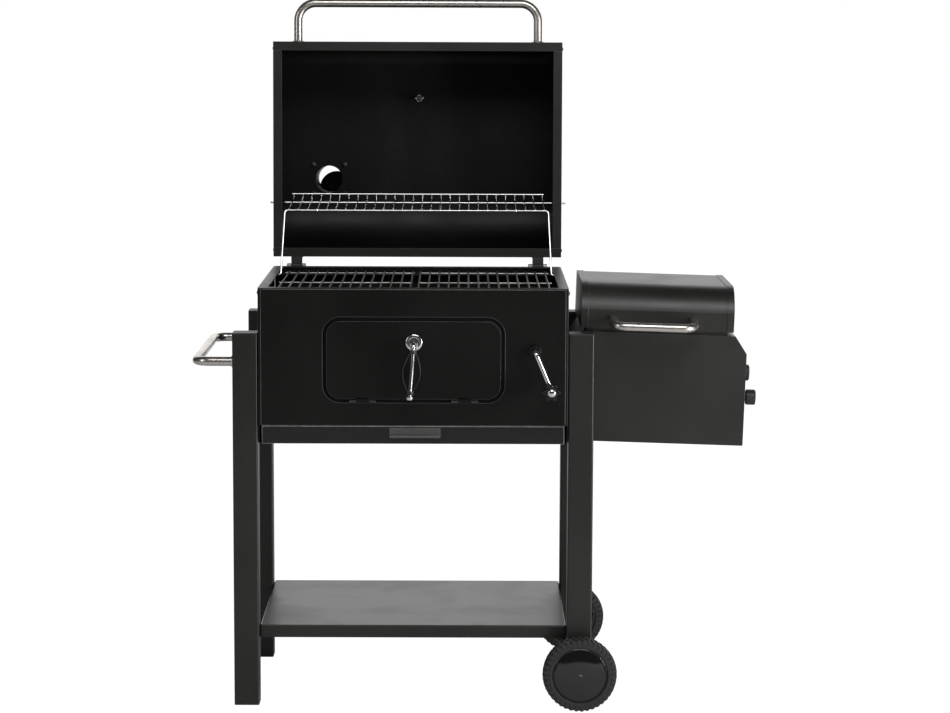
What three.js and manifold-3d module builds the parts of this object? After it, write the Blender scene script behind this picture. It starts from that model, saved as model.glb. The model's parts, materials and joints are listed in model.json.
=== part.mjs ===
// Offset charcoal smoker: a box chamber on four legs, a hinged lid with a swinging warming rack,
// and a side firebox.
// Millimetres. X to the right, Y to the back, Z up. The lid is open; the doors, the firebox lid and
// the drawer are shut.
import * as THREE from 'three';
import { mergeVertices } from 'three/addons/utils/BufferGeometryUtils.js';
import Module from 'manifold-3d';

const wasm = await Module();
wasm.setup();

// Driving dimensions. Heights are above the floor, and depths are behind the front legs' front faces.
const gap = 0.3; // between pieces that touch
const running = 0.6; // between a shaft and its hole
const sheet = 2; // sheet steel of the chamber, lid and firebox
const leg = { width: 50.5, depth: 48, wall: 1.6, topBelowRim: 91, backInset: 13, capHeight: 3,
  footHeight: 4, tail: 23 };
const chamber = { width: 620, front: -2, depth: 483, rimHeight: 850, height: 313, flange: 20, lip: 16,
  legGap: 1 };
const shelf = { height: 160, skirt: 25.6, sheet: 1.6, front: 28, overhang: 7, gap: 0.6 };
const sideHandle = { tube: 19, reach: 74, belowTop: 59.5, bend: 28 };
const wheel = { radius: 75, width: 40, rim: 56, hub: 54.5, dome: 6, legGap: 15, axle: 12 };
const door = { x: 1, width: 348, height: 156, thick: 4, belowRim: 66, radius: 28, groove: 8.5, lap: 14 };
const doorHinge = { spacing: 204, width: 54, middle: 26, radius: 3, below: 5.5 };
const handle = { x: 0.7, belowTop: 42, plate: 33, reach: 28, rod: 8, length: 108, lean: 4.3, cage: 43,
  cageLength: 82 };
const crank = { x: 243, belowRim: 124, rod: 9.6, reach: 16, arm: 81, lean: 22.9, grip: 34, gripLength: 42,
  depth: 60 };
const lift = { radius: 17, teeth: 12, tooth: 3.5, width: 12, barWidth: 14, barHeight: 122, barDepth: 14 };
const tray = { wall: 1.6, height: 45, belowRim: 195, sideGap: 13, gearGap: 7, backGap: 24 };
const drawer = { height: 35.7, wall: 1.6, sideGap: 6, faceGap: 5.5, backGap: 13 };
const pull = { x: 4, width: 102, height: 21, sheet: 1.4, lip: 11, belowTop: 3 };
const grate = { pitch: 20.5, wire: 3.4, rod: 4, belowRim: 8, inset: 2, seam: 16, sideGap: 16, rodInset: 5 };
const lid = { overhang: 1.5, setForward: 7, height: 228.5, setBack: 13, rimGap: 1.3, front: 45, rear: 110,
  openAngle: 92.47 };
const hinge = { x: 261, behind: 6, above: 0.5, radius: 4.6, width: 40, strap: 24, leaf: 46,
  strapHeight: 40 };
const lidHandle = { tube: 18.5, inset: 52, rise: 84, bend: 38, aboveRim: 45, washer: 26, washerThick: 3 };
const dial = { fromFront: 118, diameter: 70, thick: 16, stem: 8, stemLength: 40, nut: 22 };
const flue = { x: -202, fromBack: 164, bore: 60, wall: 2, length: 150, base: [84, 80], cap: 78, capThick: 2,
  swing: 40 };
const rack = { deep: 53, high: 133, front: 143.2, rear: 28, lift: 15.5, tilt: 2.8, pitch: 20.15, wire: 2.6,
  rod: 4.4, sideGap: 36 };
const rackLeg = { wire: 4, topInset: 30, footInset: 24, bend: 6 };
const box = { width: 353.7, height: 222.4, chamfer: [24, 35.6], behindLeg: 4, beforeLeg: 68, gap: 2.3,
  belowRim: 90.2, sag: 1.75 };
const boxTop = { lip: 16, seatInset: 8, seatHeight: 12, seat: 2 };
const boxLid = { inset: 17.4, width: 308.3, gap: 7.2, band: 38.4, curve: 51, rear: 9, openAngle: 92 };
const boxHandle = { x: 144.6, tube: 18, spacing: 161, reach: 55, drop: 8, bend: 24 };
const boxHinge = { behind: 6, above: 5, radius: 4.2, width: 150, strap: 110, leaf: 40, strapHeight: 34 };
const smoke = { frontInset: 58, backInset: 42, height: 110, belowRim: 132, wall: 2, clearance: 2.6, in: 8,
  out: 16 };
const damper = { below: 91.6, radius: 54, sheet: 1.6, hole: 13, orbit: 33, boss: 32, bossLength: 20,
  knobDrop: 57 };
const damperKnob = { diameter: 32, length: 20, stem: 10, reach: 37 };
const boxGrate = { height: 62, thick: 3, bar: 7, slot: 13, margin: 12 };

// Places that several pieces share.
const left = -chamber.width / 2;
const right = chamber.width / 2;
const back = chamber.front + chamber.depth;
const rim = chamber.rimHeight;
const base = rim - chamber.height;
const legInner = right + chamber.legGap;
const legOuter = legInner + leg.width;
const legTop = rim - leg.topBelowRim;
const legSpan = back - leg.backInset;
const boxFront = leg.depth + box.behindLeg;
const boxDepth = legSpan - leg.depth - box.beforeLeg - boxFront;
const axleX = (legInner + legOuter) / 2;
const radians = THREE.MathUtils.degToRad;

const finish = (color, roughness, metalness) => () => new THREE.MeshStandardMaterial({ color, roughness,
  metalness });
const black = finish(0x1e201f, 0.55, 0.2);
const gloss = finish(0x0e0e0f, 0.15, 0.1);
const steel = finish(0xb9b4ac, 0.35, 1);
const chrome = finish(0xd5d7da, 0.12, 1);
const plastic = finish(0x18191a, 0.6, 0);
const rubber = finish(0x1b1b1c, 0.85, 0);

// Geometry helpers.
const bases = {
  x: new THREE.Matrix4().makeBasis(new THREE.Vector3(0, 1, 0), new THREE.Vector3(0, 0, 1),
    new THREE.Vector3(1, 0, 0)),
  y: new THREE.Matrix4().makeBasis(new THREE.Vector3(1, 0, 0), new THREE.Vector3(0, 0, 1),
    new THREE.Vector3(0, -1, 0)),
  z: new THREE.Matrix4(),
};

// An outline in the plane across the axis, drawn out between two places on that axis.
function prism(axis, outline, from, to, curveSegments = 6) {
  const shape = outline instanceof THREE.Shape ? outline : polygon(outline);
  const geometry = new THREE.ExtrudeGeometry(shape, { depth: to - from, bevelEnabled: false,
    curveSegments });
  geometry.applyMatrix4(bases[axis]);
  const start = { x: [from, 0, 0], y: [0, to, 0], z: [0, 0, from] }[axis];
  return geometry.translate(...start);
}

function polygon(points) {
  return new THREE.Shape(points.map(([a, b]) => new THREE.Vector2(a, b)));
}

function block(x0, x1, y0, y1, z0, z1) {
  const geometry = new THREE.BoxGeometry(x1 - x0, y1 - y0, z1 - z0);
  return geometry.translate((x0 + x1) / 2, (y0 + y1) / 2, (z0 + z1) / 2);
}

function roundedRect(x0, x1, y0, y1, radius) {
  const shape = new THREE.Shape();
  shape.absarc(x1 - radius, y0 + radius, radius, -Math.PI / 2, 0);
  shape.absarc(x1 - radius, y1 - radius, radius, 0, Math.PI / 2);
  shape.absarc(x0 + radius, y1 - radius, radius, Math.PI / 2, Math.PI);
  shape.absarc(x0 + radius, y0 + radius, radius, Math.PI, 1.5 * Math.PI);
  return shape;
}

// A body turned about an axis from [radius, height] points that begin and end on the axis.
function turned(axis, profile, centre, sides) {
  const geometry = new THREE.LatheGeometry(profile.map(([r, h]) => new THREE.Vector2(r, h)), sides);
  if (axis === 'z') geometry.rotateX(Math.PI / 2);
  if (axis === 'x') geometry.rotateZ(-Math.PI / 2);
  return geometry.translate(...centre);
}

function disc(axis, radius, from, to, centre, sides = 16) {
  return turned(axis, [[0, from], [radius, from], [radius, to], [0, to]], centre, sides);
}

// Straight runs with a round bend at each inner corner.
class BentPath extends THREE.Curve {
  constructor(corners, bendRadius, bendSteps) {
    super();
    const points = corners.map((corner) => new THREE.Vector3(...corner));
    this.points = [points[0]];
    for (let i = 1; i < points.length - 1; i += 1) {
      this.points.push(...this.bend(points[i - 1], points[i], points[i + 1], bendRadius, bendSteps));
    }
    this.points.push(points.at(-1));
  }

  bend(before, corner, after, radius, steps) {
    const inward = before.clone().sub(corner).normalize();
    const outward = after.clone().sub(corner).normalize();
    const half = inward.angleTo(outward) / 2;
    const middle = inward.clone().add(outward).setLength(radius / Math.sin(half)).add(corner);
    const from = inward.setLength(radius / Math.tan(half)).add(corner).sub(middle);
    const to = outward.setLength(radius / Math.tan(half)).add(corner).sub(middle);
    const sweep = from.angleTo(to);
    const weigh = (vector, share) => vector.clone().multiplyScalar(Math.sin(share * sweep) / Math.sin(sweep));
    const shares = Array.from({ length: steps + 1 }, (_, i) => i / steps);
    return shares.map((share) => weigh(from, 1 - share).add(weigh(to, share)).add(middle));
  }

  getPoint(t, target = new THREE.Vector3()) {
    const place = t * (this.points.length - 1);
    const index = Math.min(Math.floor(place), this.points.length - 2);
    return target.lerpVectors(this.points[index], this.points[index + 1], place - index);
  }

  getPointAt(t, target) {
    return this.getPoint(t, target);
  }

  getTangentAt(t, target = new THREE.Vector3()) {
    const place = Math.round(t * (this.points.length - 1));
    const before = this.points[Math.max(place - 1, 0)];
    const after = this.points[Math.min(place + 1, this.points.length - 1)];
    return target.subVectors(after, before).normalize();
  }
}

function tube(corners, radius, bendRadius = 10, sides = 8, bendSteps = 4) {
  const path = new BentPath(corners, bendRadius, bendSteps);
  const turn = (2 * Math.PI) / sides;
  const ring = Array.from({ length: sides }, (_, i) => [radius * Math.cos(i * turn),
    radius * Math.sin(i * turn)]);
  return new THREE.ExtrudeGeometry(polygon(ring), { steps: path.points.length - 1, extrudePath: path });
}

function solid(geometry) {
  const bare = geometry.clone();
  bare.deleteAttribute('normal');
  bare.deleteAttribute('uv');
  const merged = mergeVertices(bare, 1e-4);
  const vertProperties = merged.attributes.position.array;
  const triVerts = Uint32Array.from(merged.index.array);
  return new wasm.Manifold(new wasm.Mesh({ numProp: 3, vertProperties, triVerts }));
}

function shaped(manifold) {
  const { vertProperties, triVerts } = manifold.getMesh();
  const geometry = new THREE.BufferGeometry();
  geometry.setAttribute('position', new THREE.BufferAttribute(vertProperties, 3));
  geometry.setIndex(new THREE.BufferAttribute(triVerts, 1));
  geometry.computeVertexNormals();
  return geometry;
}

const joined = (...geometries) => shaped(geometries.map(solid).reduce((whole, piece) => whole.add(piece)));
const cut = (geometry, ...tools) => shaped(tools.map(solid).reduce((whole, tool) => whole.subtract(tool),
  solid(geometry)));

function add(parent, name, geometry, material) {
  const mesh = new THREE.Mesh(geometry, material());
  mesh.name = name;
  parent.add(mesh);
  return mesh;
}

function addGroup(parent, position, turnX = 0, turnY = 0) {
  const group = new THREE.Group();
  group.position.set(...position);
  group.rotation.set(turnX, turnY, 0);
  parent.add(group);
  return group;
}

const smoker = new THREE.Group();

// Legs: open square tubes with a cap on top. The right legs hang on the axle, the left ones stand on feet.
function addLegs() {
  for (const [sideName, side] of [['left', -1], ['right', 1]]) {
    for (const [endName, y] of [['front', 0], ['back', legSpan - leg.depth]]) {
      const [x0, x1] = side < 0 ? [-legOuter, -legInner] : [legInner, legOuter];
      const bottom = side < 0 ? leg.footHeight + gap : wheel.radius - leg.tail;
      const top = legTop - leg.capHeight - gap;
      const inner = [x0 + leg.wall, x1 - leg.wall, y + leg.wall, y + leg.depth - leg.wall];
      const hole = disc('y', wheel.axle / 2 + running, -1, legSpan + 1, [axleX, 0, wheel.radius]);
      const tools = side < 0 ? [] : [hole];
      const post = cut(block(x0, x1, y, y + leg.depth, bottom, top), block(...inner, bottom - 1, top + 1),
        ...tools);
      add(smoker, `leg_${endName}_${sideName}`, post, black);
      const plug = [inner[0] + gap, inner[1] - gap, inner[2] + gap, inner[3] - gap];
      const lid = block(x0, x1, y, y + leg.depth, legTop - leg.capHeight, legTop);
      add(smoker, `leg_cap_${endName}_${sideName}`, joined(lid, block(...plug, legTop - 15, legTop - 1)),
        black);
      if (side < 0) {
        const pad = block(x0, x1, y, y + leg.depth, 0, leg.footHeight);
        add(smoker, `foot_${endName}`, joined(pad, block(...plug, 1, leg.footHeight + 14)), plastic);
      }
    }
  }
}

function addShelf() {
  const x = legInner - shelf.gap;
  const rear = legSpan + shelf.overhang;
  const outer = block(-x, x, shelf.front, rear, shelf.height - shelf.skirt, shelf.height);
  const hollow = [-x + shelf.sheet, x - shelf.sheet, shelf.front + shelf.sheet, rear - shelf.sheet];
  const under = block(...hollow, shelf.height - shelf.skirt - 1, shelf.height - shelf.sheet);
  add(smoker, 'bottom_shelf', cut(outer, under), black);
}

function addSideHandle() {
  const x = -legOuter - gap;
  const reach = x - sideHandle.reach;
  const front = leg.depth / 2;
  const rear = legSpan - leg.depth / 2;
  const z = legTop - sideHandle.belowTop;
  const corners = [[x, front, z], [reach, front, z], [reach, rear, z], [x, rear, z]];
  add(smoker, 'side_handle', tube(corners, sideHandle.tube / 2, sideHandle.bend, 12, 6), steel);
}

// Wheels: the axle runs through both right legs, with a wheel in front of the front leg and one
// behind the back leg.
function addWheels() {
  const half = wheel.width / 2;
  const bore = wheel.axle / 2 + running / 4;
  const places = { front: -wheel.legGap - half, back: legSpan + wheel.legGap + half };
  for (const [name, y] of Object.entries(places)) {
    const outward = name === 'front' ? -1 : 1;
    const spin = addGroup(smoker, [axleX, y, wheel.radius]);
    const tread = [[wheel.rim, -half], [wheel.radius - 4, -half], [wheel.radius, -half + 5],
      [wheel.radius, half - 5],
      [wheel.radius - 4, half], [wheel.rim, half], [wheel.rim, -half]];
    add(spin, `tyre_${name}`, turned('y', tread, [0, 0, 0], 36), rubber);
    const hubEdge = wheel.rim - gap;
    const disk = [[bore, -half + 8], [hubEdge, -half + 8], [hubEdge, half - 2], [wheel.hub, half],
      [wheel.hub * 0.6, half + 3],
      [0, half + wheel.dome], [0, half - 6], [bore, half - 6], [bore, -half + 8]];
    const hub = turned('y', disk, [0, 0, 0], 32);
    if (outward < 0) hub.rotateZ(Math.PI);
    add(spin, `hub_${name}`, hub, gloss);
  }
  const end = half - 6 - 1;
  add(smoker, 'axle', disc('y', wheel.axle / 2, places.front - end, places.back + end,
    [axleX, 0, wheel.radius]), steel);
}

// Chamber: two sides, a back, a front panel with the door opening, and a flat rim flange over all four.
function addChamber() {
  const top = rim - sheet - gap;
  const front = chamber.front;
  const inner = front + sheet;
  const pivot = rackFoot();
  const pin = disc('x', rackLeg.wire / 2 + running, left - 1, right + 1, [0, pivot.y, pivot.z], 12);
  const lipTop = base + sheet;
  const leftOutline = [[left, base], [left + chamber.lip, base], [left + chamber.lip, lipTop],
    [left + sheet, lipTop],
    [left + sheet, top], [left, top]];
  const mirrored = leftOutline.map(([x, z]) => [-x, z]).reverse();
  const smokeHole = block(right - sheet - 1, right + 1, ...smokeOpening(0));
  add(smoker, 'chamber_left', cut(prism('y', leftOutline, inner + gap, back), pin), black);
  add(smoker, 'chamber_right', cut(prism('y', mirrored, inner + gap, back), pin, smokeHole), black);
  const backPlate = block(left + sheet + gap, right - sheet - gap, back - sheet, back,
    base + drawer.height + 2, top);
  add(smoker, 'chamber_back', backPlate, black);
  const opening = doorOutline(door.groove, 'y', front - 1, inner + 1);
  const shaftHole = disc('y', crank.rod / 2 + running, front - 1, inner + 1,
    [crank.x, 0, rim - crank.belowRim]);
  const panelBottom = base + drawer.height + 1;
  add(smoker, 'front_panel', cut(block(left, right, front, inner, panelBottom, top), opening, shaftHole),
    black);
  const rimOuter = block(left, right, front, back, rim - sheet, rim);
  const flange = chamber.flange;
  const rimInner = block(left + flange, right - flange, front + flange, back - flange, rim - sheet - 1,
    rim + 1);
  add(smoker, 'chamber_rim', cut(rimOuter, rimInner), black);
  const frameOuter = doorOutline(door.groove + 8, 'y', inner + gap, inner + gap + sheet);
  const frameInner = doorOutline(-door.lap, 'y', inner, inner + sheet + 1);
  add(smoker, 'door_frame', cut(frameOuter, frameInner), black);
}

function smokeOpening(grow) {
  const y0 = boxFront + smoke.frontInset;
  const y1 = boxFront + boxDepth - smoke.backInset;
  const z = rim - smoke.belowRim;
  return [y0 - grow, y1 + grow, z - smoke.height - grow, z + grow];
}

function doorOutline(grow, axis, from, to) {
  const x0 = door.x - door.width / 2 - grow;
  const x1 = door.x + door.width / 2 + grow;
  const top = rim - door.belowRim + grow;
  const outline = roundedRect(x0, x1, top - door.height - 2 * grow, top,
    door.radius + Math.max(grow, -door.lap));
  return prism(axis, outline, from, to);
}

// Grates: two lift-out halves that rest on a ledge along the front and one along the back.
function addGrates() {
  const reach = chamber.flange + grate.inset;
  const y0 = chamber.front + reach;
  const y1 = back - reach;
  const top = rim - grate.belowRim;
  const under = top - grate.wire;
  const inner = right - sheet - gap;
  const ledgeTop = under - grate.rod + 0.7 - gap;
  const ledgeReach = reach + grate.rodInset + grate.rod;
  const ledges = {
    grate_ledge_front: [chamber.front + sheet + gap, chamber.front + ledgeReach],
    grate_ledge_back: [back - ledgeReach, back - sheet - gap],
  };
  for (const [name, span] of Object.entries(ledges)) {
    add(smoker, name, block(-inner + 1, inner - 1, ...span, ledgeTop - sheet, ledgeTop), black);
  }
  const half = right - chamber.flange - grate.seam / 2;
  const count = Math.floor((half - grate.sideGap / 2) / grate.pitch) + 1;
  for (const [name, side] of [['left', -1], ['right', 1]]) {
    const pieces = [];
    for (let i = 0; i < count; i += 1) {
      const x = side * (grate.seam / 2 + i * grate.pitch);
      pieces.push(block(x - grate.wire / 2, x + grate.wire / 2, y0, y1, under, top));
    }
    const rodEnds = [grate.seam / 2 - grate.wire / 2 - 1, grate.seam / 2 + (count - 1) * grate.pitch + 9];
    const [x0, x1] = side < 0 ? [-rodEnds[1], -rodEnds[0]] : rodEnds;
    for (const y of [y0 + grate.rodInset, (y0 + y1) / 2, y1 - grate.rodInset]) {
      pieces.push(block(x0, x1, y - grate.rod / 2, y + grate.rod / 2, under - grate.rod + 0.7,
        under + 0.7));
    }
    add(smoker, `cooking_grate_${name}`, joined(...pieces), steel);
  }
}

// Charcoal door: a thick rounded panel in a groove, on two knuckle hinges at its foot.
function addDoor() {
  const panelTop = rim - door.belowRim;
  const foot = panelTop - door.height;
  const face = chamber.front + sheet - door.thick;
  const axisY = face + 0.5;
  const axisZ = foot - doorHinge.below;
  const pieces = [doorOutline(0, 'y', face, face + door.thick)];
  for (const [name, side] of [['left', -1], ['right', 1]]) {
    const x = door.x + (side * doorHinge.spacing) / 2;
    const slim = doorHinge.radius - running;
    const middle = doorHinge.middle / 2;
    const tab = block(x - middle, x + middle, face, face + 1.2, axisZ, foot + 4);
    const barrel = disc('x', slim, x - middle, x + middle, [0, axisY, axisZ], 12);
    pieces.push(tab, barrel);
    const end = doorHinge.width / 2;
    const plate = block(x - end, x + end, -0.9, 0, axisZ - doorHinge.radius, axisZ + doorHinge.radius);
    const knuckles = [[-end, -middle - gap], [middle + gap, end]].map(([a, b]) => (
      disc('x', doorHinge.radius, x + a, x + b, [0, axisY, axisZ], 12)));
    add(smoker, `door_hinge_${name}`, joined(plate, ...knuckles), black);
  }
  const turn = { x: door.x + handle.x, z: panelTop - handle.belowTop };
  const shaftHole = disc('y', handle.rod / 2 + running, face - 1, 2, [turn.x, 0, turn.z]);
  add(smoker, 'charcoal_door', cut(joined(...pieces), shaftHole), black);
  addDoorHandle(turn, face);
}

// Door handle: a round plate, a rod out of it and down with a bowed wire cage, and the latch tongue
// behind the door.
function addDoorHandle(turn, face) {
  const swing = addGroup(smoker, [turn.x, 0, turn.z]);
  const outer = face - gap;
  const rodY = outer - handle.reach;
  const lean = radians(handle.lean);
  const along = (distance) => [-Math.sin(lean) * distance, rodY, -Math.cos(lean) * distance];
  const inside = chamber.front + sheet + gap + sheet + 1;
  const plate = disc('y', handle.plate / 2, outer - 3, outer, [0, 0, 0], 20);
  const boss = disc('y', handle.plate / 4, outer - 9, outer - 2, [0, 0, 0], 12);
  const rod = tube([[0, inside + 3, 0], [0, rodY, 0], along(handle.length)], handle.rod / 2, 7, 10, 3);
  const tip = turned('z', [[0, -4], [6, -4], [7.5, -2], [7.5, 3], [0, 3]], [0, 0, 0], 12);
  tip.rotateY(lean).translate(...along(handle.length));
  const tongue = block(-9, 9, inside, inside + 3, -6, 26);
  add(swing, 'door_handle', joined(plate, boss, rod, tip, tongue), chrome);
  const wires = [];
  const bore = handle.rod / 2 + running;
  const ends = [handle.length - handle.cageLength - 10, handle.length - 10];
  for (let i = 0; i < 6; i += 1) {
    const angle = (i * Math.PI) / 3;
    const bow = [0, 0.55, 0.9, 1, 0.9, 0.55, 0].map((share, k, all) => {
      const radius = bore + 1.6 + share * (handle.cage / 2 - bore - 2.4);
      const z = -(ends[0] + 3 + (k / (all.length - 1)) * (ends[1] - ends[0] - 6));
      return new THREE.Vector3(radius * Math.cos(angle), radius * Math.sin(angle), z);
    });
    const ring = polygon([[0.9, 0], [0, 0.9], [-0.9, 0], [0, -0.9]]);
    wires.push(new THREE.ExtrudeGeometry(ring, { steps: 8, extrudePath: new THREE.CatmullRomCurve3(bow) }));
  }
  for (const end of ends) {
    const collar = [[bore, -end - 3.5], [bore + 3, -end - 3.5], [bore + 3, -end + 3.5], [bore, -end + 3.5],
      [bore, -end - 3.5]];
    wires.push(turned('z', collar, [0, 0, 0], 12));
  }
  const cage = joined(...wires);
  cage.rotateY(lean).translate(0, rodY, 0);
  add(swing, 'handle_cage', cage, black);
}

// Crank: a collar on the panel, a bent rod with a gear on its inner end, and a star grip that spins
// on the rod.
function addCrank() {
  const z = rim - crank.belowRim;
  const face = chamber.front - gap;
  const radius = crank.rod / 2;
  const ring = [[radius + running, -8], [12, -8], [13, -2], [13, 0], [radius + running, 0],
    [radius + running, -8]];
  add(smoker, 'crank_collar', turned('y', ring, [crank.x, face, z], 20), plastic);
  const turn = addGroup(smoker, [crank.x, 0, z]);
  const lean = radians(crank.lean);
  const armY = face - 8 - crank.reach;
  const end = [Math.sin(lean) * crank.arm, armY, -Math.cos(lean) * crank.arm];
  const gripEnd = armY - 10 - crank.gripLength;
  const corners = [[0, crank.depth + 3, 0], [0, armY, 0], end, [end[0], gripEnd - 2, end[2]]];
  const teeth = [];
  for (let i = 0; i < 4 * lift.teeth; i += 1) {
    const angle = ((i + 0.5) * Math.PI) / (2 * lift.teeth);
    const reach = i % 4 < 2 ? lift.radius : lift.radius - lift.tooth;
    teeth.push([reach * Math.cos(angle), reach * Math.sin(angle)]);
  }
  const gear = prism('y', teeth, crank.depth - lift.width, crank.depth);
  add(turn, 'crank_rod', joined(tube(corners, radius, 9, 10, 4), gear), chrome);
  const grip = new THREE.Shape();
  const lobes = 6;
  for (let i = 0; i <= lobes * 4; i += 1) {
    const angle = (i * 2 * Math.PI) / (lobes * 4);
    const reach = crank.grip / 2 - 2.2 + 2.2 * Math.cos(lobes * angle);
    if (i === 0) grip.moveTo(reach, 0);
    else if (i < lobes * 4) grip.lineTo(reach * Math.cos(angle), reach * Math.sin(angle));
  }
  const knob = addGroup(turn, [end[0], 0, end[2]]);
  const start = armY - 10;
  const star = prism('y', grip, gripEnd, start);
  const bore = disc('y', radius + running, gripEnd, start + 1, [0, 0, 0], 12);
  const cap = turned('y', [[0, gripEnd - 8], [6, gripEnd - 7], [9, gripEnd - 4], [9, gripEnd + 1],
    [0, gripEnd + 1]], [0, 0, 0], 14);
  const socket = disc('y', radius + running, gripEnd - 3, gripEnd + 2, [0, 0, 0], 12);
  add(knob, 'crank_grip', cut(joined(cut(star, bore), cap), socket), plastic);
}

// Charcoal tray: an open pan, and the toothed bar on its front wall that the crank's gear lifts.
function addTray() {
  const x = right - sheet - tray.sideGap;
  const bottom = rim - tray.belowRim;
  const y1 = back - tray.backGap;
  const y0 = crank.depth + tray.gearGap;
  const pan = block(-x, x, y0, y1, bottom, bottom + tray.height);
  const room = [-x + tray.wall, x - tray.wall, y0 + tray.wall, y1 - tray.wall];
  add(smoker, 'charcoal_tray', cut(pan, block(...room, bottom + tray.wall, bottom + tray.height + 1)),
    black);
  const tip = crank.x - lift.radius - 0.4;
  const pitch = (2 * Math.PI * lift.radius) / lift.teeth;
  const foot = rim - crank.belowRim - lift.barHeight / 2 - 6;
  const outline = [[tip - lift.barWidth, foot + lift.barHeight], [tip - lift.barWidth, foot]];
  for (let z = foot; z + pitch <= foot + lift.barHeight; z += pitch) {
    outline.push([tip - lift.tooth, z], [tip - lift.tooth, z + pitch / 4], [tip, z + pitch / 3]);
    outline.push([tip, z + (2 * pitch) / 3], [tip - lift.tooth, z + (3 * pitch) / 4]);
  }
  outline.push([tip - lift.tooth, foot + lift.barHeight]);
  add(smoker, 'lift_bar', prism('y', outline, y0 - gap - lift.barDepth, y0 - gap), steel);
}

function addDrawer() {
  const x = right - sheet - drawer.sideGap;
  const bottom = base + sheet + gap;
  const front = chamber.front;
  const top = base + drawer.height;
  const rear = back - drawer.backGap;
  const pan = block(-x, x, front, rear, bottom, top);
  const room = [-x + drawer.wall, x - drawer.wall, front + drawer.wall, rear - drawer.wall];
  const faceX = right - sheet - drawer.faceGap;
  const face = block(-faceX, faceX, front, front + drawer.wall, base, top);
  const open = block(...room, bottom + drawer.wall, top + 1);
  add(smoker, 'ash_drawer', joined(cut(pan, open), face), gloss);
  const tabTop = top - pull.belowTop;
  const outer = front - gap;
  const outline = [[outer, tabTop], [outer - pull.sheet, tabTop],
    [outer - pull.sheet, tabTop - pull.height + 4],
    [outer - pull.lip, tabTop - pull.height + 4], [outer - pull.lip, tabTop - pull.height + 2.6],
    [outer - pull.sheet, tabTop - pull.height + 2.6], [outer - pull.sheet, tabTop - pull.height],
      [outer, tabTop - pull.height]];
  add(smoker, 'drawer_pull', prism('x', outline, pull.x - pull.width / 2, pull.x + pull.width / 2), gloss);
}

// Lid: drawn shut about its hinge axis, then turned open. Its own origin is on the axis.
const lidAxis = { y: back + hinge.behind, z: rim + hinge.above };
const openTurn = -radians(lid.openAngle);
const lidBack = back - lid.setBack - lidAxis.y;
const lidFront = chamber.front + lid.setForward - lidAxis.y;
const lidFloor = rim + lid.rimGap - lidAxis.z;
const lidX = right + lid.overhang;

function lidOutline(inset, bottom) {
  const y0 = lidFront + inset;
  const y1 = lidBack - inset;
  const top = lidFloor + lid.height - inset;
  const shape = new THREE.Shape();
  shape.moveTo(y0, bottom);
  shape.lineTo(y1, bottom);
  shape.absarc(y1 - lid.rear + inset, top - lid.rear + inset, lid.rear - inset, 0, Math.PI / 2);
  shape.absarc(y0 + lid.front - inset, top - lid.front + inset, lid.front - inset, Math.PI / 2, Math.PI);
  return shape;
}

function addLid() {
  const group = addGroup(smoker, [0, lidAxis.y, lidAxis.z], openTurn);
  const foot = lidFloor + sheet + gap;
  const inner = lidX - sheet - gap;
  const dialY = lidFront + dial.fromFront;
  const flueY = lidBack - flue.fromBack;
  const ceiling = lidFloor + lid.height;
  const stemHole = disc('z', dial.stem / 2 + 1, ceiling - 9, ceiling + 5, [0, dialY, 0], 12);
  const flueHole = disc('z', flue.bore / 2, ceiling - 9, ceiling + 5, [flue.x, flueY, 0], 24);
  const cover = prism('x', lidOutline(0, foot), -inner, inner, 5);
  const room = prism('x', lidOutline(sheet, foot - 1), -inner - 1, inner + 1, 5);
  add(group, 'lid_cover', cut(cover, room, stemHole, flueHole), black);
  const pivot = rackPivot();
  const pin = disc('x', rack.rod / 2 + running, -lidX - 1, lidX + 1, [0, pivot.y, pivot.z], 12);
  const side = (x0, x1) => cut(prism('x', lidOutline(0, foot), x0, x1, 5), pin);
  add(group, 'lid_side_left', side(-lidX, -lidX + sheet), black);
  add(group, 'lid_side_right', side(lidX - sheet, lidX), black);
  const flange = chamber.flange - 1;
  const rimOuter = block(-lidX, lidX, lidFront, lidBack, lidFloor, lidFloor + sheet);
  const hole = block(-lidX + flange, lidX - flange, lidFront + flange, lidBack - flange, lidFloor - 1,
    lidFloor + sheet + 1);
  add(group, 'lid_rim', cut(rimOuter, hole), black);
  addLidHandle(group);
  addThermometer(group, dialY, ceiling);
  addFlue(group, flueY, ceiling);
}

function addLidHandle(group) {
  const x = lidX - lidHandle.inset;
  const z = lidFloor + lidHandle.aboveRim;
  const start = lidFront - gap;
  const reach = start - lidHandle.rise;
  const bar = tube([[-x, start, z], [-x, reach, z], [x, reach, z], [x, start, z]], lidHandle.tube / 2,
    lidHandle.bend, 12, 6);
  const washers = [-x, x].map((place) => (
    disc('y', lidHandle.washer / 2, start - lidHandle.washerThick, start, [place, 0, z])));
  add(group, 'lid_handle', joined(bar, ...washers), steel);
}

function addThermometer(group, y, ceiling) {
  const top = ceiling + gap;
  const radius = dial.diameter / 2;
  const stem = dial.stem / 2;
  const profile = [[0, top - dial.stemLength], [stem, top - dial.stemLength], [stem, ceiling - sheet - 6],
    [dial.nut / 2, ceiling - sheet - 6], [dial.nut / 2, ceiling - sheet - gap],
      [stem, ceiling - sheet - gap], [stem, top],
    [radius - 4, top], [radius, top + 4], [radius, top + dial.thick - 3], [radius - 3, top + dial.thick],
      [0, top + dial.thick]];
  add(group, 'thermometer', turned('z', profile, [0, y, 0], 24), chrome);
}

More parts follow.
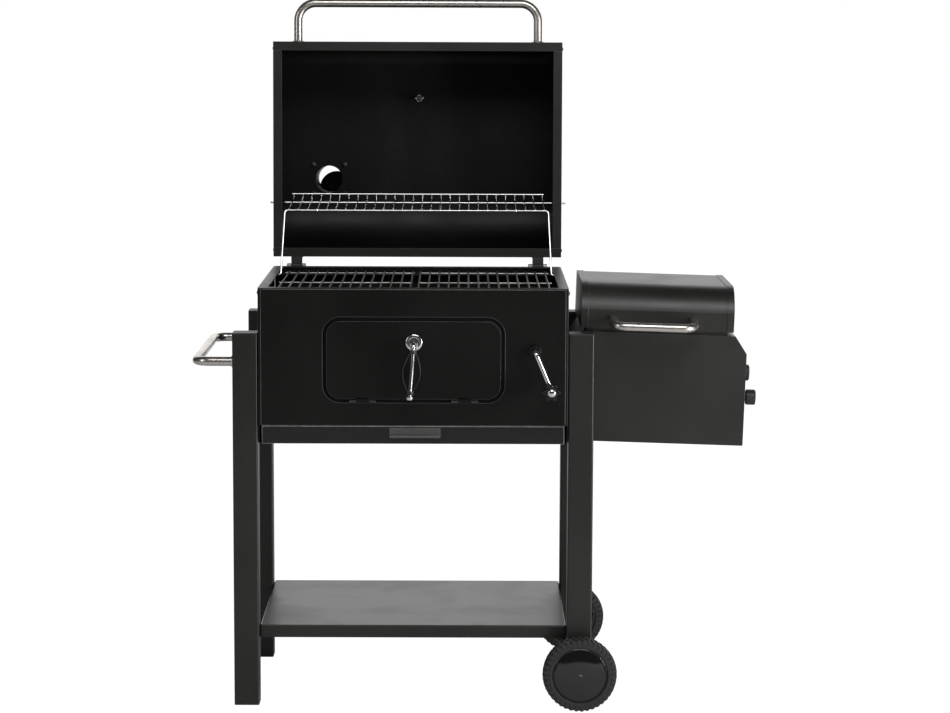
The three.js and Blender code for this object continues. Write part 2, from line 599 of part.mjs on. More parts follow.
// Chimney: a pipe on a square plate, with a flat cap that swings aside on a pin at the pipe's edge.
function addFlue(group, y, ceiling) {
  const inner = flue.bore / 2;
  const outer = inner + flue.wall;
  const low = ceiling + gap;
  const [plateX, plateY] = flue.base.map((size) => size / 2);
  const plate = block(flue.x - plateX, flue.x + plateX, y - plateY, y + plateY, low, low + sheet);
  const pipe = disc('z', outer, low, low + flue.length, [flue.x, y, 0], 24);
  const bore = disc('z', inner, low - 1, low + flue.length + 1, [flue.x, y, 0], 24);
  const corner = Math.SQRT1_2 * (outer + 5);
  const earX = flue.x - corner;
  const earY = y + corner;
  const top = low + flue.length;
  const ear = disc('z', 6, top - 12, top, [earX, earY, 0], 10);
  const screw = disc('z', 2.5, top - 1, top + 6, [earX, earY, 0], 8);
  add(group, 'chimney', joined(cut(joined(plate, pipe, ear), bore), screw), black);
  const swing = addGroup(group, [earX, earY, top + gap]);
  swing.rotation.z = radians(flue.swing);
  const reach = Math.SQRT1_2 * (outer + 5);
  const cap = disc('z', flue.cap / 2, 0, flue.capThick, [reach, -reach, 0], 24);
  add(swing, 'chimney_cap', cut(joined(cap, disc('z', 7, 0, flue.capThick, [0, 0, 0], 12)),
    disc('z', 3.1, -1, 9, [0, 0, 0], 8)), black);
}

// Hinges: a strap on the lid with a middle knuckle, between two knuckles on a leaf that is bolted
// to the wall.
function addLidHinges() {
  const group = addGroup(smoker, [0, lidAxis.y, lidAxis.z], openTurn);
  for (const [name, side] of [['left', -1], ['right', 1]]) {
    const x = side * hinge.x;
    const half = hinge.strap / 2;
    const y0 = lidBack + gap;
    const z0 = lidFloor + 0.4;
    const strap = [[y0, z0], [-2, z0], [-2, z0 + 3], [y0 + 2, z0 + 3], [y0 + 2, z0 + hinge.strapHeight],
      [y0, z0 + hinge.strapHeight]];
    const knuckle = disc('x', hinge.radius, x - half, x + half, [0, 0, 0], 12);
    add(group, `lid_strap_${name}`, joined(prism('x', strap, x - half, x + half), knuckle), black);
    add(smoker, `lid_hinge_${name}`, hingeLeaf(x, lidAxis.y, lidAxis.z, hinge, back), steel);
  }
}

function hingeLeaf(x, y, z, size, wall) {
  const outer = size.width / 2;
  const inner = size.strap / 2 + gap;
  const plate = block(x - outer, x + outer, wall + gap, wall + gap + 2, z - size.leaf, z);
  const relief = block(x - inner, x + inner, wall - 1, wall + 4, z - size.radius - 1, z + 1);
  const knuckles = [[-outer, -inner], [inner, outer]].map(([a, b]) => disc('x', size.radius, x + a, x + b,
    [0, y, z], 12));
  return joined(cut(plate, relief), ...knuckles);
}

// Warming rack: it hangs on a rod across the lid and on a wire leg across the chamber, which make a
// parallel linkage.
function rackPivot() {
  const point = new THREE.Vector3(0, rack.deep, rack.high).applyAxisAngle(new THREE.Vector3(1, 0, 0),
    -openTurn);
  return { y: point.y, z: point.z };
}

function rackFoot() {
  const tilt = radians(rack.tilt);
  return { y: lidAxis.y - rack.front * Math.cos(tilt), z: lidAxis.z - rack.front * Math.sin(tilt) };
}

function addRack() {
  const pivot = { y: lidAxis.y + rack.deep, z: lidAxis.z + rack.high };
  const group = addGroup(smoker, [0, pivot.y, pivot.z], radians(rack.tilt));
  const rodRadius = rack.rod / 2;
  const reach = lidX - rack.sideGap;
  const count = 2 * Math.floor(reach / rack.pitch + 0.5);
  const low = rodRadius - 0.6;
  const high = low + rack.wire;
  const bend = rack.rear + rack.wire / 2;
  const tip = rack.front - 3;
  const wire = [[-tip, low], [bend, low], [bend, rack.lift + 1.5], [bend - rack.wire, rack.lift + 1.5],
    [bend - rack.wire, high], [-tip, high]];
  const pieces = [];
  const place = (i) => (i - (count - 1) / 2) * rack.pitch;
  for (let i = 0; i < count; i += 1) {
    pieces.push(prism('x', wire, place(i) - rack.wire / 2, place(i) + rack.wire / 2));
  }
  const end = place(count - 1) + 3;
  const rod = (half, y, z, sides) => disc('x', rodRadius, -half, half, [0, y, z], sides);
  pieces.push(rod(lidX + 9.5, 0, 0, 8), rod(end, -rack.front + 4.7, 0, 6),
    rod(end, rack.rear - 1.8, rack.lift, 6));
  const bar = rackLeg.wire / 2;
  const hookTop = bar + 0.8;
  const hook = [[-rack.front + 6, hookTop], [-rack.front + 6, hookTop + 2.4],
    [-rack.front - bar - 3.4, hookTop + 2.4],
    [-rack.front - bar - 3.4, -bar - 1], [-rack.front - bar - 1, -bar - 1],
      [-rack.front - bar - 1, hookTop]].reverse();
  for (const i of [3, count - 4]) {
    pieces.push(prism('x', hook, place(i) - 1.6, place(i) + 1.6));
  }
  add(group, 'warming_rack', joined(...pieces), chrome);
  const foot = rackFoot();
  const topX = right - rackLeg.topInset;
  const footX = right - rackLeg.footInset;
  const top = { y: foot.y + rack.deep, z: foot.z + rack.high };
  const corners = [[-right - 3, foot.y, foot.z], [-footX, foot.y, foot.z], [-topX, top.y, top.z],
    [topX, top.y, top.z],
    [footX, foot.y, foot.z], [right + 3, foot.y, foot.z]];
  add(smoker, 'rack_leg', tube(corners, rackLeg.wire / 2, rackLeg.bend, 8, 3), chrome);
}

// Firebox: it hangs a little low at its outer end. Its own origin is its lower inner front corner.
function boxOutline(inset) {
  const [cutX, cutZ] = box.chamfer;
  const w = box.width - inset;
  const h = box.height - inset;
  return [[inset, inset], [w, inset], [w, box.height - cutZ], [box.width - cutX, h], [cutX, h],
    [inset, box.height - cutZ]];
}

function addFirebox() {
  const origin = [right + box.gap, boxFront, rim - box.belowRim - box.height];
  const group = addGroup(smoker, origin, 0, radians(box.sag));
  const shell = prism('y', boxOutline(0), 0, boxDepth);
  const room = prism('y', boxOutline(sheet), sheet, boxDepth - sheet);
  const [cutX] = box.chamfer;
  const mouth = [cutX + boxTop.lip, box.width - cutX - boxTop.lip, boxTop.lip, boxDepth - boxTop.lip];
  const [y0, y1, z0, z1] = smokeOpening(smoke.clearance);
  const smokeHole = block(-1, sheet + 1, y0 - origin[1], y1 - origin[1], z0 - origin[2], z1 - origin[2]);
  const vents = ventHoles(box.width - sheet - 1, box.width + 1, 0);
  const opened = cut(shell, room, block(...mouth, box.height - 5, box.height + 1), smokeHole, ...vents);
  const seat = [boxLid.inset + boxTop.seatInset, boxLid.inset + boxLid.width - boxTop.seatInset,
    boxTop.seatInset, boxDepth - boxTop.seatInset];
  const seatRoom = [seat[0] + boxTop.seat, seat[1] - boxTop.seat, seat[2] + boxTop.seat,
    seat[3] - boxTop.seat];
  const z = box.height - sheet / 2;
  const ring = cut(block(...seat, z, z + boxTop.seatHeight), block(...seatRoom, z - 1,
    z + boxTop.seatHeight + 1));
  add(group, 'firebox_shell', joined(opened, ring), black);
  addFireGrate(group);
  addFireLid(group);
  addDamper(group);
  const [x0, x1] = [right - smoke.in, right + smoke.out];
  const sleeveOuter = smokeOpening(-gap);
  const sleeveInner = smokeOpening(-gap - smoke.wall);
  const sleeve = cut(block(x0, x1, ...sleeveOuter), block(x0 - 1, x1 + 1, ...sleeveInner));
  add(smoker, 'smoke_sleeve', sleeve, black);
}

function ventHoles(from, to, turn) {
  const y = boxDepth / 2;
  const z = box.height - damper.below;
  return [0, 1, 2].map((i) => {
    const angle = turn + (i * 2 * Math.PI) / 3;
    const centre = [0, y + damper.orbit * Math.cos(angle), z + damper.orbit * Math.sin(angle)];
    return disc('x', damper.hole, from, to, centre, 14);
  });
}

function addFireGrate(group) {
  const x0 = boxGrate.margin;
  const x1 = box.width - boxGrate.margin;
  const y0 = boxGrate.margin;
  const y1 = boxDepth - boxGrate.margin;
  const plate = block(x0, x1, y0, y1, boxGrate.height, boxGrate.height + boxGrate.thick);
  const pitch = boxGrate.bar + boxGrate.slot;
  const slots = [];
  for (let x = x0 + boxGrate.bar; x + boxGrate.slot <= x1 - boxGrate.bar; x += pitch) {
    slots.push(block(x, x + boxGrate.slot, y0 + 10, y1 - 10, boxGrate.height - 1,
      boxGrate.height + boxGrate.thick + 1));
  }
  add(group, 'fire_grate', cut(plate, ...slots), steel);
}

function fireLidOutline(inset, bottom) {
  const front = -boxHinge.behind - boxDepth + inset;
  const wall = -boxHinge.behind - inset;
  const top = boxLid.band + boxLid.curve + boxLid.gap - boxHinge.above - inset;
  const shape = new THREE.Shape();
  shape.moveTo(front, bottom);
  shape.lineTo(wall, bottom);
  shape.absarc(wall - boxLid.rear + inset, top - boxLid.rear + inset, boxLid.rear - inset, 0, Math.PI / 2);
  shape.absarc(front + boxLid.curve - inset, top - boxLid.curve + inset, boxLid.curve - inset, Math.PI / 2,
    Math.PI);
  return shape;
}

function addFireLid(group) {
  const axis = { y: boxDepth + boxHinge.behind, z: box.height + boxHinge.above };
  const swing = addGroup(group, [0, axis.y, axis.z]);
  const x0 = boxLid.inset;
  const x1 = x0 + boxLid.width;
  const bottom = boxLid.gap - boxHinge.above;
  const shell = prism('x', fireLidOutline(0, bottom), x0, x1, 6);
  const room = prism('x', fireLidOutline(sheet, bottom - 1), x0 + sheet, x1 - sheet, 6);
  const face = -boxHinge.behind - boxDepth - gap;
  const z = bottom + boxLid.band / 2;
  const [a, b] = [-1, 1].map((side) => x0 + boxHandle.x + (side * boxHandle.spacing) / 2);
  const reach = face - boxHandle.reach;
  const low = z - boxHandle.drop;
  const corners = [[a, face, z], [a, reach, low], [b, reach, low], [b, face, z]];
  const bar = tube(corners, boxHandle.tube / 2, boxHandle.bend, 12, 5);
  const trim = block(a - 20, b + 20, face, face + 30, z - 20, z + 20);
  add(swing, 'firebox_handle', cut(bar, trim), steel);
  const x = x0 + boxLid.width / 2;
  const half = boxHinge.strap / 2;
  const strap = block(x - half, x + half, -boxHinge.behind - 0.5, -boxHinge.behind + 2, 0,
    boxHinge.strapHeight);
  const knuckle = disc('x', boxHinge.radius, x - half, x + half, [0, 0, 0], 12);
  add(swing, 'firebox_lid', joined(cut(shell, room), strap, knuckle), black);
  add(group, 'firebox_hinge', hingeLeaf(x, axis.y, axis.z, boxHinge, boxDepth), black);
}

// Damper: a turning disc over three vents in the end wall, with a pivot boss and a knob near its edge.
function addDamper(group) {
  const y = boxDepth / 2;
  const z = box.height - damper.below;
  const wall = box.width + gap;
  const face = wall + damper.sheet;
  const plate = disc('x', damper.radius, wall, face, [0, y, z], 32);
  const boss = disc('x', damper.boss / 2, face - 0.5, face + damper.bossLength, [0, y, z], 14);
  const knobZ = z - damper.knobDrop + 6;
  const stem = disc('x', damperKnob.stem / 2, face - 0.5, wall + damperKnob.reach - 1, [0, y, knobZ], 10);
  const knobStart = wall + damperKnob.reach - damperKnob.length;
  const grip = disc('x', damperKnob.diameter / 2, knobStart, wall + damperKnob.reach, [0, y, knobZ], 18);
  const holes = ventHoles(wall - 1, face + 0.2, Math.PI / 3);
  add(group, 'air_damper', joined(cut(plate, ...holes), boss, stem, grip), plastic);
}

addLegs();
addShelf();
addSideHandle();
addWheels();
addChamber();
addGrates();
addDoor();
addCrank();
addTray();
addDrawer();
addLid();
addLidHinges();
addRack();
addFirebox();

// The origin is on the floor, under the middle of the whole object.
const bounds = new THREE.Box3().setFromObject(smoker);
const middle = bounds.getCenter(new THREE.Vector3());
smoker.position.set(-middle.x, -middle.y, -bounds.min.z);

export default smoker;
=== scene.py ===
import json
import math
import bpy
import bmesh
from mathutils import Matrix, Vector


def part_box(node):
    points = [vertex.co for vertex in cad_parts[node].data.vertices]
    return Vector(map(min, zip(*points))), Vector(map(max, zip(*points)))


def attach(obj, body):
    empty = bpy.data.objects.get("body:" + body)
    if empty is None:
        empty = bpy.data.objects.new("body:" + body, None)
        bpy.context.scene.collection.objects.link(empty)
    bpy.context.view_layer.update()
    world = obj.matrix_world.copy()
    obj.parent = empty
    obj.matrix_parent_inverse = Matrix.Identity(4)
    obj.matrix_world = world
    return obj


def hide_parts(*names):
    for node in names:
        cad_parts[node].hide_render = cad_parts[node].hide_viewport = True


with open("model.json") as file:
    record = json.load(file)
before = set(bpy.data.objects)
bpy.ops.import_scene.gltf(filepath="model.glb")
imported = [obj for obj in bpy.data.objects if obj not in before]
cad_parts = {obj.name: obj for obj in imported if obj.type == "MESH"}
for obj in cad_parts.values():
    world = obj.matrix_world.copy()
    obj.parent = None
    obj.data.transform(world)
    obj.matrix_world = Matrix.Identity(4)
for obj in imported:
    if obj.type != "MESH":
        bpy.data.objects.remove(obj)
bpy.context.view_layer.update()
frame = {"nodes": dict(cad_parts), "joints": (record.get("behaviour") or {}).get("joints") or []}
scene = bpy.context.scene
deg = math.radians
mm = 0.001

# Shapes are drawn in millimetres from the chamber's middle, the front legs' faces and the floor.
rimLow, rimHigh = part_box("chamber_rim")
legLow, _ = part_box("leg_front_left")
origin = Vector(((rimLow.x + rimHigh.x) / 2, legLow.y, 0))
toRow = Matrix.Translation(origin) @ Matrix.Scale(mm, 4)


def extent(node):
    low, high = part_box(node)
    return (low - origin) / mm, (high - origin) / mm


def jointPlace(name):
    joint = next(j for j in frame["joints"] if j["name"] == name)
    return (Vector(joint["pos_m"]) - origin) / mm


# camera
cameraView = dict(place=(-0.0330, -5.8364, 1.3921), pitch=7.11, yaw=0.26, roll=0.22, lens=104.07, sensor=36)


def addCamera(view):
    data = bpy.data.cameras.new("camera")
    data.lens, data.sensor_width = view["lens"], view["sensor"]
    camera = bpy.data.objects.new("camera", data)
    scene.collection.objects.link(camera)
    pitch, yaw, roll = deg(view["pitch"]), deg(view["yaw"]), deg(view["roll"])
    ahead = Vector((math.sin(yaw) * math.cos(pitch), math.cos(yaw) * math.cos(pitch), -math.sin(pitch)))
    level = Vector((math.cos(yaw), -math.sin(yaw), 0))
    upward = level.cross(ahead)
    right = level * math.cos(roll) + upward * math.sin(roll)
    up = upward * math.cos(roll) - level * math.sin(roll)
    turn = Matrix((right, up, -ahead)).transposed().to_4x4()
    camera.matrix_world = Matrix.Translation(view["place"]) @ turn
    scene.camera = camera


addCamera(cameraView)
print("camera placed")


# shaping kit
def rounded(points, radius, steps=6, closed=True):
    # the same line with an arc at each corner; radius may be a list with one value for each point
    points = [Vector(p) for p in points]
    result = []
    for i, here in enumerate(points):
        size = radius[i] if isinstance(radius, (list, tuple)) else radius
        before, after = points[i - 1] - here, points[(i + 1) % len(points)] - here
        isEnd = not closed and i in (0, len(points) - 1)
        if isEnd or size <= 0 or before.angle(after) > 3.13:
            result.append(here)
            continue
        half = before.angle(after) / 2
        cutBack = min(size / math.tan(half), before.length * 0.49, after.length * 0.49)
        reach = cutBack / math.cos(half)
        middle = here + (before.normalized() + after.normalized()).normalized() * reach
        a, b = here + before.normalized() * cutBack - middle, here + after.normalized() * cutBack - middle
        sweep = a.angle(b)
        for k in range(steps + 1):
            t = k / steps
            result.append(middle + (a * math.sin((1 - t) * sweep) + b * math.sin(t * sweep)) / math.sin(sweep))
    return result


def rect(a0, a1, b0, b1):
    return [(a0, b0), (a1, b0), (a1, b1), (a0, b1)]


def circle(radius, count, centre=(0, 0), start=0.0):
    turns = [start + 2 * math.pi * i / count for i in range(count)]
    return [(centre[0] + radius * math.cos(t), centre[1] + radius * math.sin(t)) for t in turns]


onAxis = {"x": lambda a, b, h: (h, a, b), "y": lambda a, b, h: (a, h, b), "z": lambda a, b, h: (a, b, h)}


def slab(bm, axis, outline, low, high, holes=()):
    # an outline across an axis, drawn out from low to high, with holes through it
    lay = onAxis[axis]
    ends = ([], [])
    for line in (outline, *holes):
        rings = [[bm.verts.new(lay(p[0], p[1], h)) for p in line] for h in (low, high)]
        for i in range(len(line)):
            bm.faces.new((rings[0][i - 1], rings[0][i], rings[1][i], rings[1][i - 1]))
        ends[0].append(rings[0])
        ends[1].append(rings[1])
    for rings in ends:
        if not holes:
            bm.faces.new(rings[0])
            continue
        edges = [bm.edges.get((ring[i - 1], ring[i])) for ring in rings for i in range(len(ring))]
        bmesh.ops.triangle_fill(bm, use_beauty=True, use_dissolve=False, edges=edges)
    return bm


def block(bm, x0, x1, y0, y1, z0, z1):
    return slab(bm, "z", rect(x0, x1, y0, y1), z0, z1)


def lathe(bm, axis, profile, centre=(0, 0, 0), sides=48):
    # [radius, height] points turned about an axis; a profile that starts and ends off the axis makes a ring
    lay = onAxis[axis]
    rings = []
    for radius, height in profile:
        count = 1 if radius < 1e-6 else sides
        spots = circle(radius, count) if count > 1 else [(0, 0)]
        rings.append([bm.verts.new(Vector(lay(a, b, height)) + Vector(centre)) for a, b in spots])
    pairs = list(zip(rings, rings[1:]))
    if len(rings[0]) > 1 and len(rings[-1]) > 1:
        pairs.append((rings[-1], rings[0]))
    for one, two in pairs:
        for i in range(sides):
            a, b = (one[i - 1], one[i]) if len(one) > 1 else (one[0], None)
            c, d = (two[i], two[i - 1]) if len(two) > 1 else (two[0], None)
            corners = [v for v in (a, b, c, d) if v is not None]
            if len(corners) > 2:
                bm.faces.new(corners)
    return bm


def plugLine(radius, a, b):
    return [[0, a], [radius, a], [radius, b], [0, b]]


def rodLine(radius, a, b, ease=0.5, bore=0):
    # the profile of a turned rod with eased ends; a bore makes it a sleeve
    return [[bore, a], [radius - ease, a], [radius, a + ease], [radius, b - ease], [radius - ease, b], [bore, b]]


def sweep(bm, path, section, closed=False, flat=None):
    # a section carried along a path; flat is the normal of the plane that a flat path lies in
    path = [Vector(p) for p in path]
    count = len(path)
    uv = bm.loops.layers.uv.verify()
    tangents = []
    for i in range(count):
        before = path[i - 1] if closed or i else path[i]
        after = path[(i + 1) % count] if closed or i < count - 1 else path[i]
        tangents.append((after - before).normalized())
    side = Vector(flat) if flat else tangents[0].orthogonal().normalized()
    rings, runs, run = [], [], 0.0
    for i, (point, tangent) in enumerate(zip(path, tangents)):
        side = (side - tangent * side.dot(tangent)).normalized()
        other = tangent.cross(side)
        if closed or 0 < i < count - 1:
            bend = tangent.dot((path[(i + 1) % count] - point).normalized())
        else:
            bend = 1
        stretch = 1 / max(bend, 0.3) if flat else 1
        rings.append([bm.verts.new(point + other * a * stretch + side * b) for a, b in section])
        run += (point - path[i - 1]).length if i else 0
        runs.append(run)
    spans = list(zip(range(count), range(1, count)))
    if closed:
        spans.append((count - 1, 0))
        runs.append(run + (path[0] - path[-1]).length)
    around = len(section)
    for i, j in spans:
        far = runs[j] if j else runs[-1]
        for k in range(around):
            n = (k + 1) % around
            face = bm.faces.new((rings[i][k], rings[i][n], rings[j][n], rings[j][k]))
            places = ((k, runs[i]), (k + 1, runs[i]), (k + 1, far), (k, far))
            for loop, (u, v) in zip(face.loops, places):
                loop[uv].uv = (u / around, v / 100)
    if not closed:
        bm.faces.new(rings[0])
        bm.faces.new(list(reversed(rings[-1])))
    return bm


def tube(bm, corners, radius, bend=10, sides=24, steps=8, closed=False):
    return sweep(bm, rounded(corners, bend, steps, closed), circle(radius, sides), closed)


def softenEdges(bm, width, segments=2, angle=32):
    # rounds every sharp edge and marks the rounding, for the painted highlight on it
    mark = bm.faces.layers.int.get("edgeFace") or bm.faces.layers.int.new("edgeFace")
    sharp = [e for e in bm.edges if len(e.link_faces) == 2 and e.calc_face_angle(0) > deg(angle)]
    made = bmesh.ops.bevel(bm, geom=sharp, offset=width, segments=segments, profile=0.5,
                           affect="EDGES", clamp_overlap=True)
    for face in made["faces"]:
        face[mark] = 1
    return bm


def makePiece(name, shape, coat, body, stands=(), edge=0.0, segments=2, turn=None, smooth=38):
    # shape is a bmesh in millimetres; the piece is finished, put in place and set to ride on its body
    if isinstance(shape, bpy.types.Mesh):
        bm = bmesh.new()
        bm.from_mesh(shape)
    else:
        bm = shape
    bmesh.ops.remove_doubles(bm, verts=bm.verts, dist=0.002)
    bmesh.ops.recalc_face_normals(bm, faces=bm.faces)
    if edge:
        softenEdges(bm, edge, segments)
    mark = bm.faces.layers.int.get("edgeFace")
    marked = [bool(mark and f[mark]) for f in bm.faces]
    mesh = bpy.data.meshes.new(name)
    bm.to_mesh(mesh)
    bm.free()
    edgeShine = mesh.attributes.new("edgeLine", "FLOAT", "FACE")
    edgeShine.data.foreach_set("value", [float(m) for m in marked])
    mesh.transform(toRow @ (turn or Matrix()))
    mesh.shade_smooth()
    mesh.set_sharp_from_angle(angle=deg(smooth))
    mesh.materials.clear()
    mesh.materials.append(coat)
    piece = bpy.data.objects.new(name, mesh)
    scene.collection.objects.link(piece)
    even = piece.modifiers.new("evenShading", "WEIGHTED_NORMAL")
    even.keep_sharp, even.weight = True, 100
    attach(piece, body)
    if stands:
        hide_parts(*stands)
    return piece


# finishes
def newGroup(name, inputs, outputs):
    group = bpy.data.node_groups.new(name, "ShaderNodeTree")
    for label, kind, value in inputs:
        socket = group.interface.new_socket(label, in_out="INPUT", socket_type=kind)
        if value is not None:
            socket.default_value = value
    for label, kind in outputs:
        group.interface.new_socket(label, in_out="OUTPUT", socket_type=kind)
    return group, group.nodes.new("NodeGroupInput"), group.nodes.new("NodeGroupOutput")


def addNode(tree, kind, settings=None, **sockets):
    node = tree.nodes.new(kind)
    for key, value in (settings or {}).items():
        setattr(node, key, value)
    for key, value in sockets.items():
        socket = node.inputs[int(key[1:])] if key[0] == "i" and key[1:].isdigit() else node.inputs[key]
        if isinstance(value, bpy.types.NodeSocket):
            tree.links.new(value, socket)
        else:
            socket.default_value = value
    return node


def calc(tree, operation, a, b=0.0, c=None):
    values = dict(i0=a, i1=b)
    if c is not None:
        values["i2"] = c
    return addNode(tree, "ShaderNodeMath", dict(operation=operation), **values).outputs[0]


def span(tree, value, low, high, newLow, newHigh):
    node = addNode(tree, "ShaderNodeMapRange", dict(interpolation_type="SMOOTHSTEP"), i0=value, i1=low, i2=high,
                   i3=newLow, i4=newHigh)
    return node.outputs[0]


def makeCoatGrain():
    # fine orange peel of baked powder, with slow clouds in its tone
    group, given, out = newGroup("coatGrain", [("Peel", "NodeSocketFloat", 900.0),
                                               ("Clouds", "NodeSocketFloat", 5.0)],
                                 [("Height", "NodeSocketFloat"), ("Tone", "NodeSocketFloat")])
    place = group.nodes.new("ShaderNodeTexCoord").outputs["Object"]
    peel = addNode(group, "ShaderNodeTexVoronoi", dict(feature="SMOOTH_F1"), Vector=place,
                   Scale=given.outputs["Peel"])
    speck = addNode(group, "ShaderNodeTexNoise", Vector=place, Scale=given.outputs["Peel"], Detail=3.0)
    cloud = addNode(group, "ShaderNodeTexNoise", Vector=place, Scale=given.outputs["Clouds"], Detail=4.0)
    mixed = calc(group, "MULTIPLY_ADD", peel.outputs["Distance"], 0.6, speck.outputs[0])
    group.links.new(mixed, out.inputs["Height"])
    group.links.new(cloud.outputs[0], out.inputs["Tone"])
    return group


def makePaintedEdgeHighlight():
    # painted highlight along the rounded edges, in long broken patches: the light that rounded edges catch, painted
    # into the colour
    group, given, out = newGroup("paintedEdgeHighlight", [("Patches", "NodeSocketFloat", 60.0),
                                              ("Amount", "NodeSocketFloat", 0.5)],
                                 [("Mask", "NodeSocketFloat")])
    place = group.nodes.new("ShaderNodeTexCoord").outputs["Object"]
    line = addNode(group, "ShaderNodeAttribute", dict(attribute_name="edgeLine", attribute_type="GEOMETRY"))
    patch = addNode(group, "ShaderNodeTexNoise", Vector=place, Scale=given.outputs["Patches"], Detail=5.0)
    broken = span(group, patch.outputs[0], 0.38, 0.66, 0.7, 1.0)
    mask = calc(group, "MULTIPLY", calc(group, "MULTIPLY", line.outputs["Fac"], broken), given.outputs["Amount"])
    group.links.new(mask, out.inputs["Mask"])
    return group


def makeHandling():
    # wiped smears and a little settled dust, which change how sharp the shine is
    group, given, out = newGroup("handling", [("Smears", "NodeSocketFloat", 9.0), ("Dust", "NodeSocketFloat", 160.0)],
                                 [("Smear", "NodeSocketFloat"), ("Dust", "NodeSocketFloat")])
    place = group.nodes.new("ShaderNodeTexCoord").outputs["Object"]
    long = addNode(group, "ShaderNodeMapping", Vector=place, Scale=(1.0, 1.0, 0.35))
    smear = addNode(group, "ShaderNodeTexNoise", Vector=long.outputs[0], Scale=given.outputs["Smears"], Detail=6.0,
                    Distortion=1.2)
    speck = addNode(group, "ShaderNodeTexNoise", Vector=place, Scale=given.outputs["Dust"], Detail=8.0)
    group.links.new(span(group, smear.outputs[0], 0.4, 0.7, 0.0, 1.0), out.inputs["Smear"])
    group.links.new(span(group, speck.outputs[0], 0.6, 0.75, 0.0, 1.0), out.inputs["Dust"])
    return group


def makeBrushing():
    # fine lines round a tube, from the belt that polished it, on the tube's own run
    group, given, out = newGroup("brushing", [("Lines", "NodeSocketFloat", 700.0), ("Along", "NodeSocketFloat", 3.0)],
                                 [("Height", "NodeSocketFloat"), ("Tone", "NodeSocketFloat")])
    run = group.nodes.new("ShaderNodeUVMap").outputs[0]
    parts = addNode(group, "ShaderNodeSeparateXYZ", Vector=run)
    u, v = parts.outputs[0], parts.outputs[1]
    across = addNode(group, "ShaderNodeCombineXYZ", X=calc(group, "MULTIPLY", u, given.outputs["Along"]),
                     Y=calc(group, "MULTIPLY", v, given.outputs["Lines"]))
    lines = addNode(group, "ShaderNodeTexNoise", Vector=across.outputs[0], Scale=1.0, Detail=4.0)
    slow = addNode(group, "ShaderNodeTexNoise", Vector=run, Scale=6.0, Detail=3.0)
    group.links.new(lines.outputs[0], out.inputs["Height"])
    group.links.new(calc(group, "MULTIPLY_ADD", lines.outputs[0], 0.6, calc(group, "MULTIPLY", slow.outputs[0], 0.4)),
                    out.inputs["Tone"])
    return group


coatGrain, paintedEdgeHighlight, handling, brushing = makeCoatGrain(), makePaintedEdgeHighlight(), makeHandling(), makeBrushing()


def useGroup(tree, group, **values):
    node = tree.nodes.new("ShaderNodeGroup")
    node.node_tree = group
    for key, value in values.items():
        node.inputs[key].default_value = value
    return node


def startMaterial(name, **plain):
    made = bpy.data.materials.new(name)
    made.use_nodes = True
    tree = made.node_tree
    shader = tree.nodes["Principled BSDF"]
    for key, value in plain.items():
        shader.inputs[key.replace("_", " ")].default_value = value
    return made, tree, shader


def blendColour(tree, factor, one, two):
    node = addNode(tree, "ShaderNodeMix", dict(data_type="RGBA"), Factor=factor)
    node.inputs[6].default_value = (*one, 1) if not isinstance(one, bpy.types.NodeSocket) else (0, 0, 0, 1)
    if isinstance(one, bpy.types.NodeSocket):
        tree.links.new(one, node.inputs[6])
    node.inputs[7].default_value = (*two, 1)
    return node.outputs[2]


def paintedSteel(name, look):
    made, tree, shader = startMaterial(name, Metallic=0.0, Specular_IOR_Level=look["shine"],
                                       Coat_Roughness=look["coatRough"], Coat_IOR=1.5)
    grain = useGroup(tree, coatGrain, Peel=look["peel"], Clouds=look["clouds"])
    edgeShine = useGroup(tree, paintedEdgeHighlight, Patches=look["patches"], Amount=look["edgeShine"])
    marks = useGroup(tree, handling, Smears=look["smears"], Dust=look["dust"])
    tone = span(tree, grain.outputs["Tone"], 0.3, 0.7, 0.0, 1.0)
    base = blendColour(tree, tone, look["dark"], look["light"])
    # the marked rounded edges are blended towards the edge colour: a painted highlight
    edgeLit = blendColour(tree, edgeShine.outputs["Mask"], base, look["edge"])
    dusty = blendColour(tree, calc(tree, "MULTIPLY", marks.outputs["Dust"], look["dusting"]), edgeLit,
                        (0.12, 0.115, 0.11))
    tree.links.new(dusty, shader.inputs["Base Color"])
    rough = calc(tree, "MULTIPLY_ADD", marks.outputs["Smear"], look["smearRough"], look["rough"])
    rough = calc(tree, "MULTIPLY_ADD", grain.outputs["Tone"], 0.05, rough)
    tree.links.new(rough, shader.inputs["Roughness"])
    coatAmount = calc(tree, "MULTIPLY_ADD", marks.outputs["Smear"], -0.3 * look["coat"], look["coat"])
    tree.links.new(coatAmount, shader.inputs["Coat Weight"])
    bump = addNode(tree, "ShaderNodeBump", Strength=look["bump"], Distance=0.0002, Height=grain.outputs["Height"])
    tree.links.new(bump.outputs[0], shader.inputs["Normal"])
    return made


def bareMetal(name, look):
    made, tree, shader = startMaterial(name, Metallic=1.0)
    lines = useGroup(tree, brushing, Lines=look["lines"], Along=look["along"])
    marks = useGroup(tree, handling, Smears=look["smears"], Dust=look["dust"])
    tint = blendColour(tree, lines.outputs["Tone"], look["dark"], look["light"])
    dull = blendColour(tree, calc(tree, "MULTIPLY", marks.outputs["Smear"], look["tarnish"]), tint, look["stain"])
    tree.links.new(dull, shader.inputs["Base Color"])
    rough = calc(tree, "MULTIPLY_ADD", lines.outputs["Tone"], look["roughSpread"], look["rough"])
    rough = calc(tree, "MULTIPLY_ADD", marks.outputs["Smear"], look["smearRough"], rough)
    tree.links.new(rough, shader.inputs["Roughness"])
    bump = addNode(tree, "ShaderNodeBump", Strength=look["bump"], Distance=0.0001, Height=lines.outputs["Height"])
    tree.links.new(bump.outputs[0], shader.inputs["Normal"])
    return made
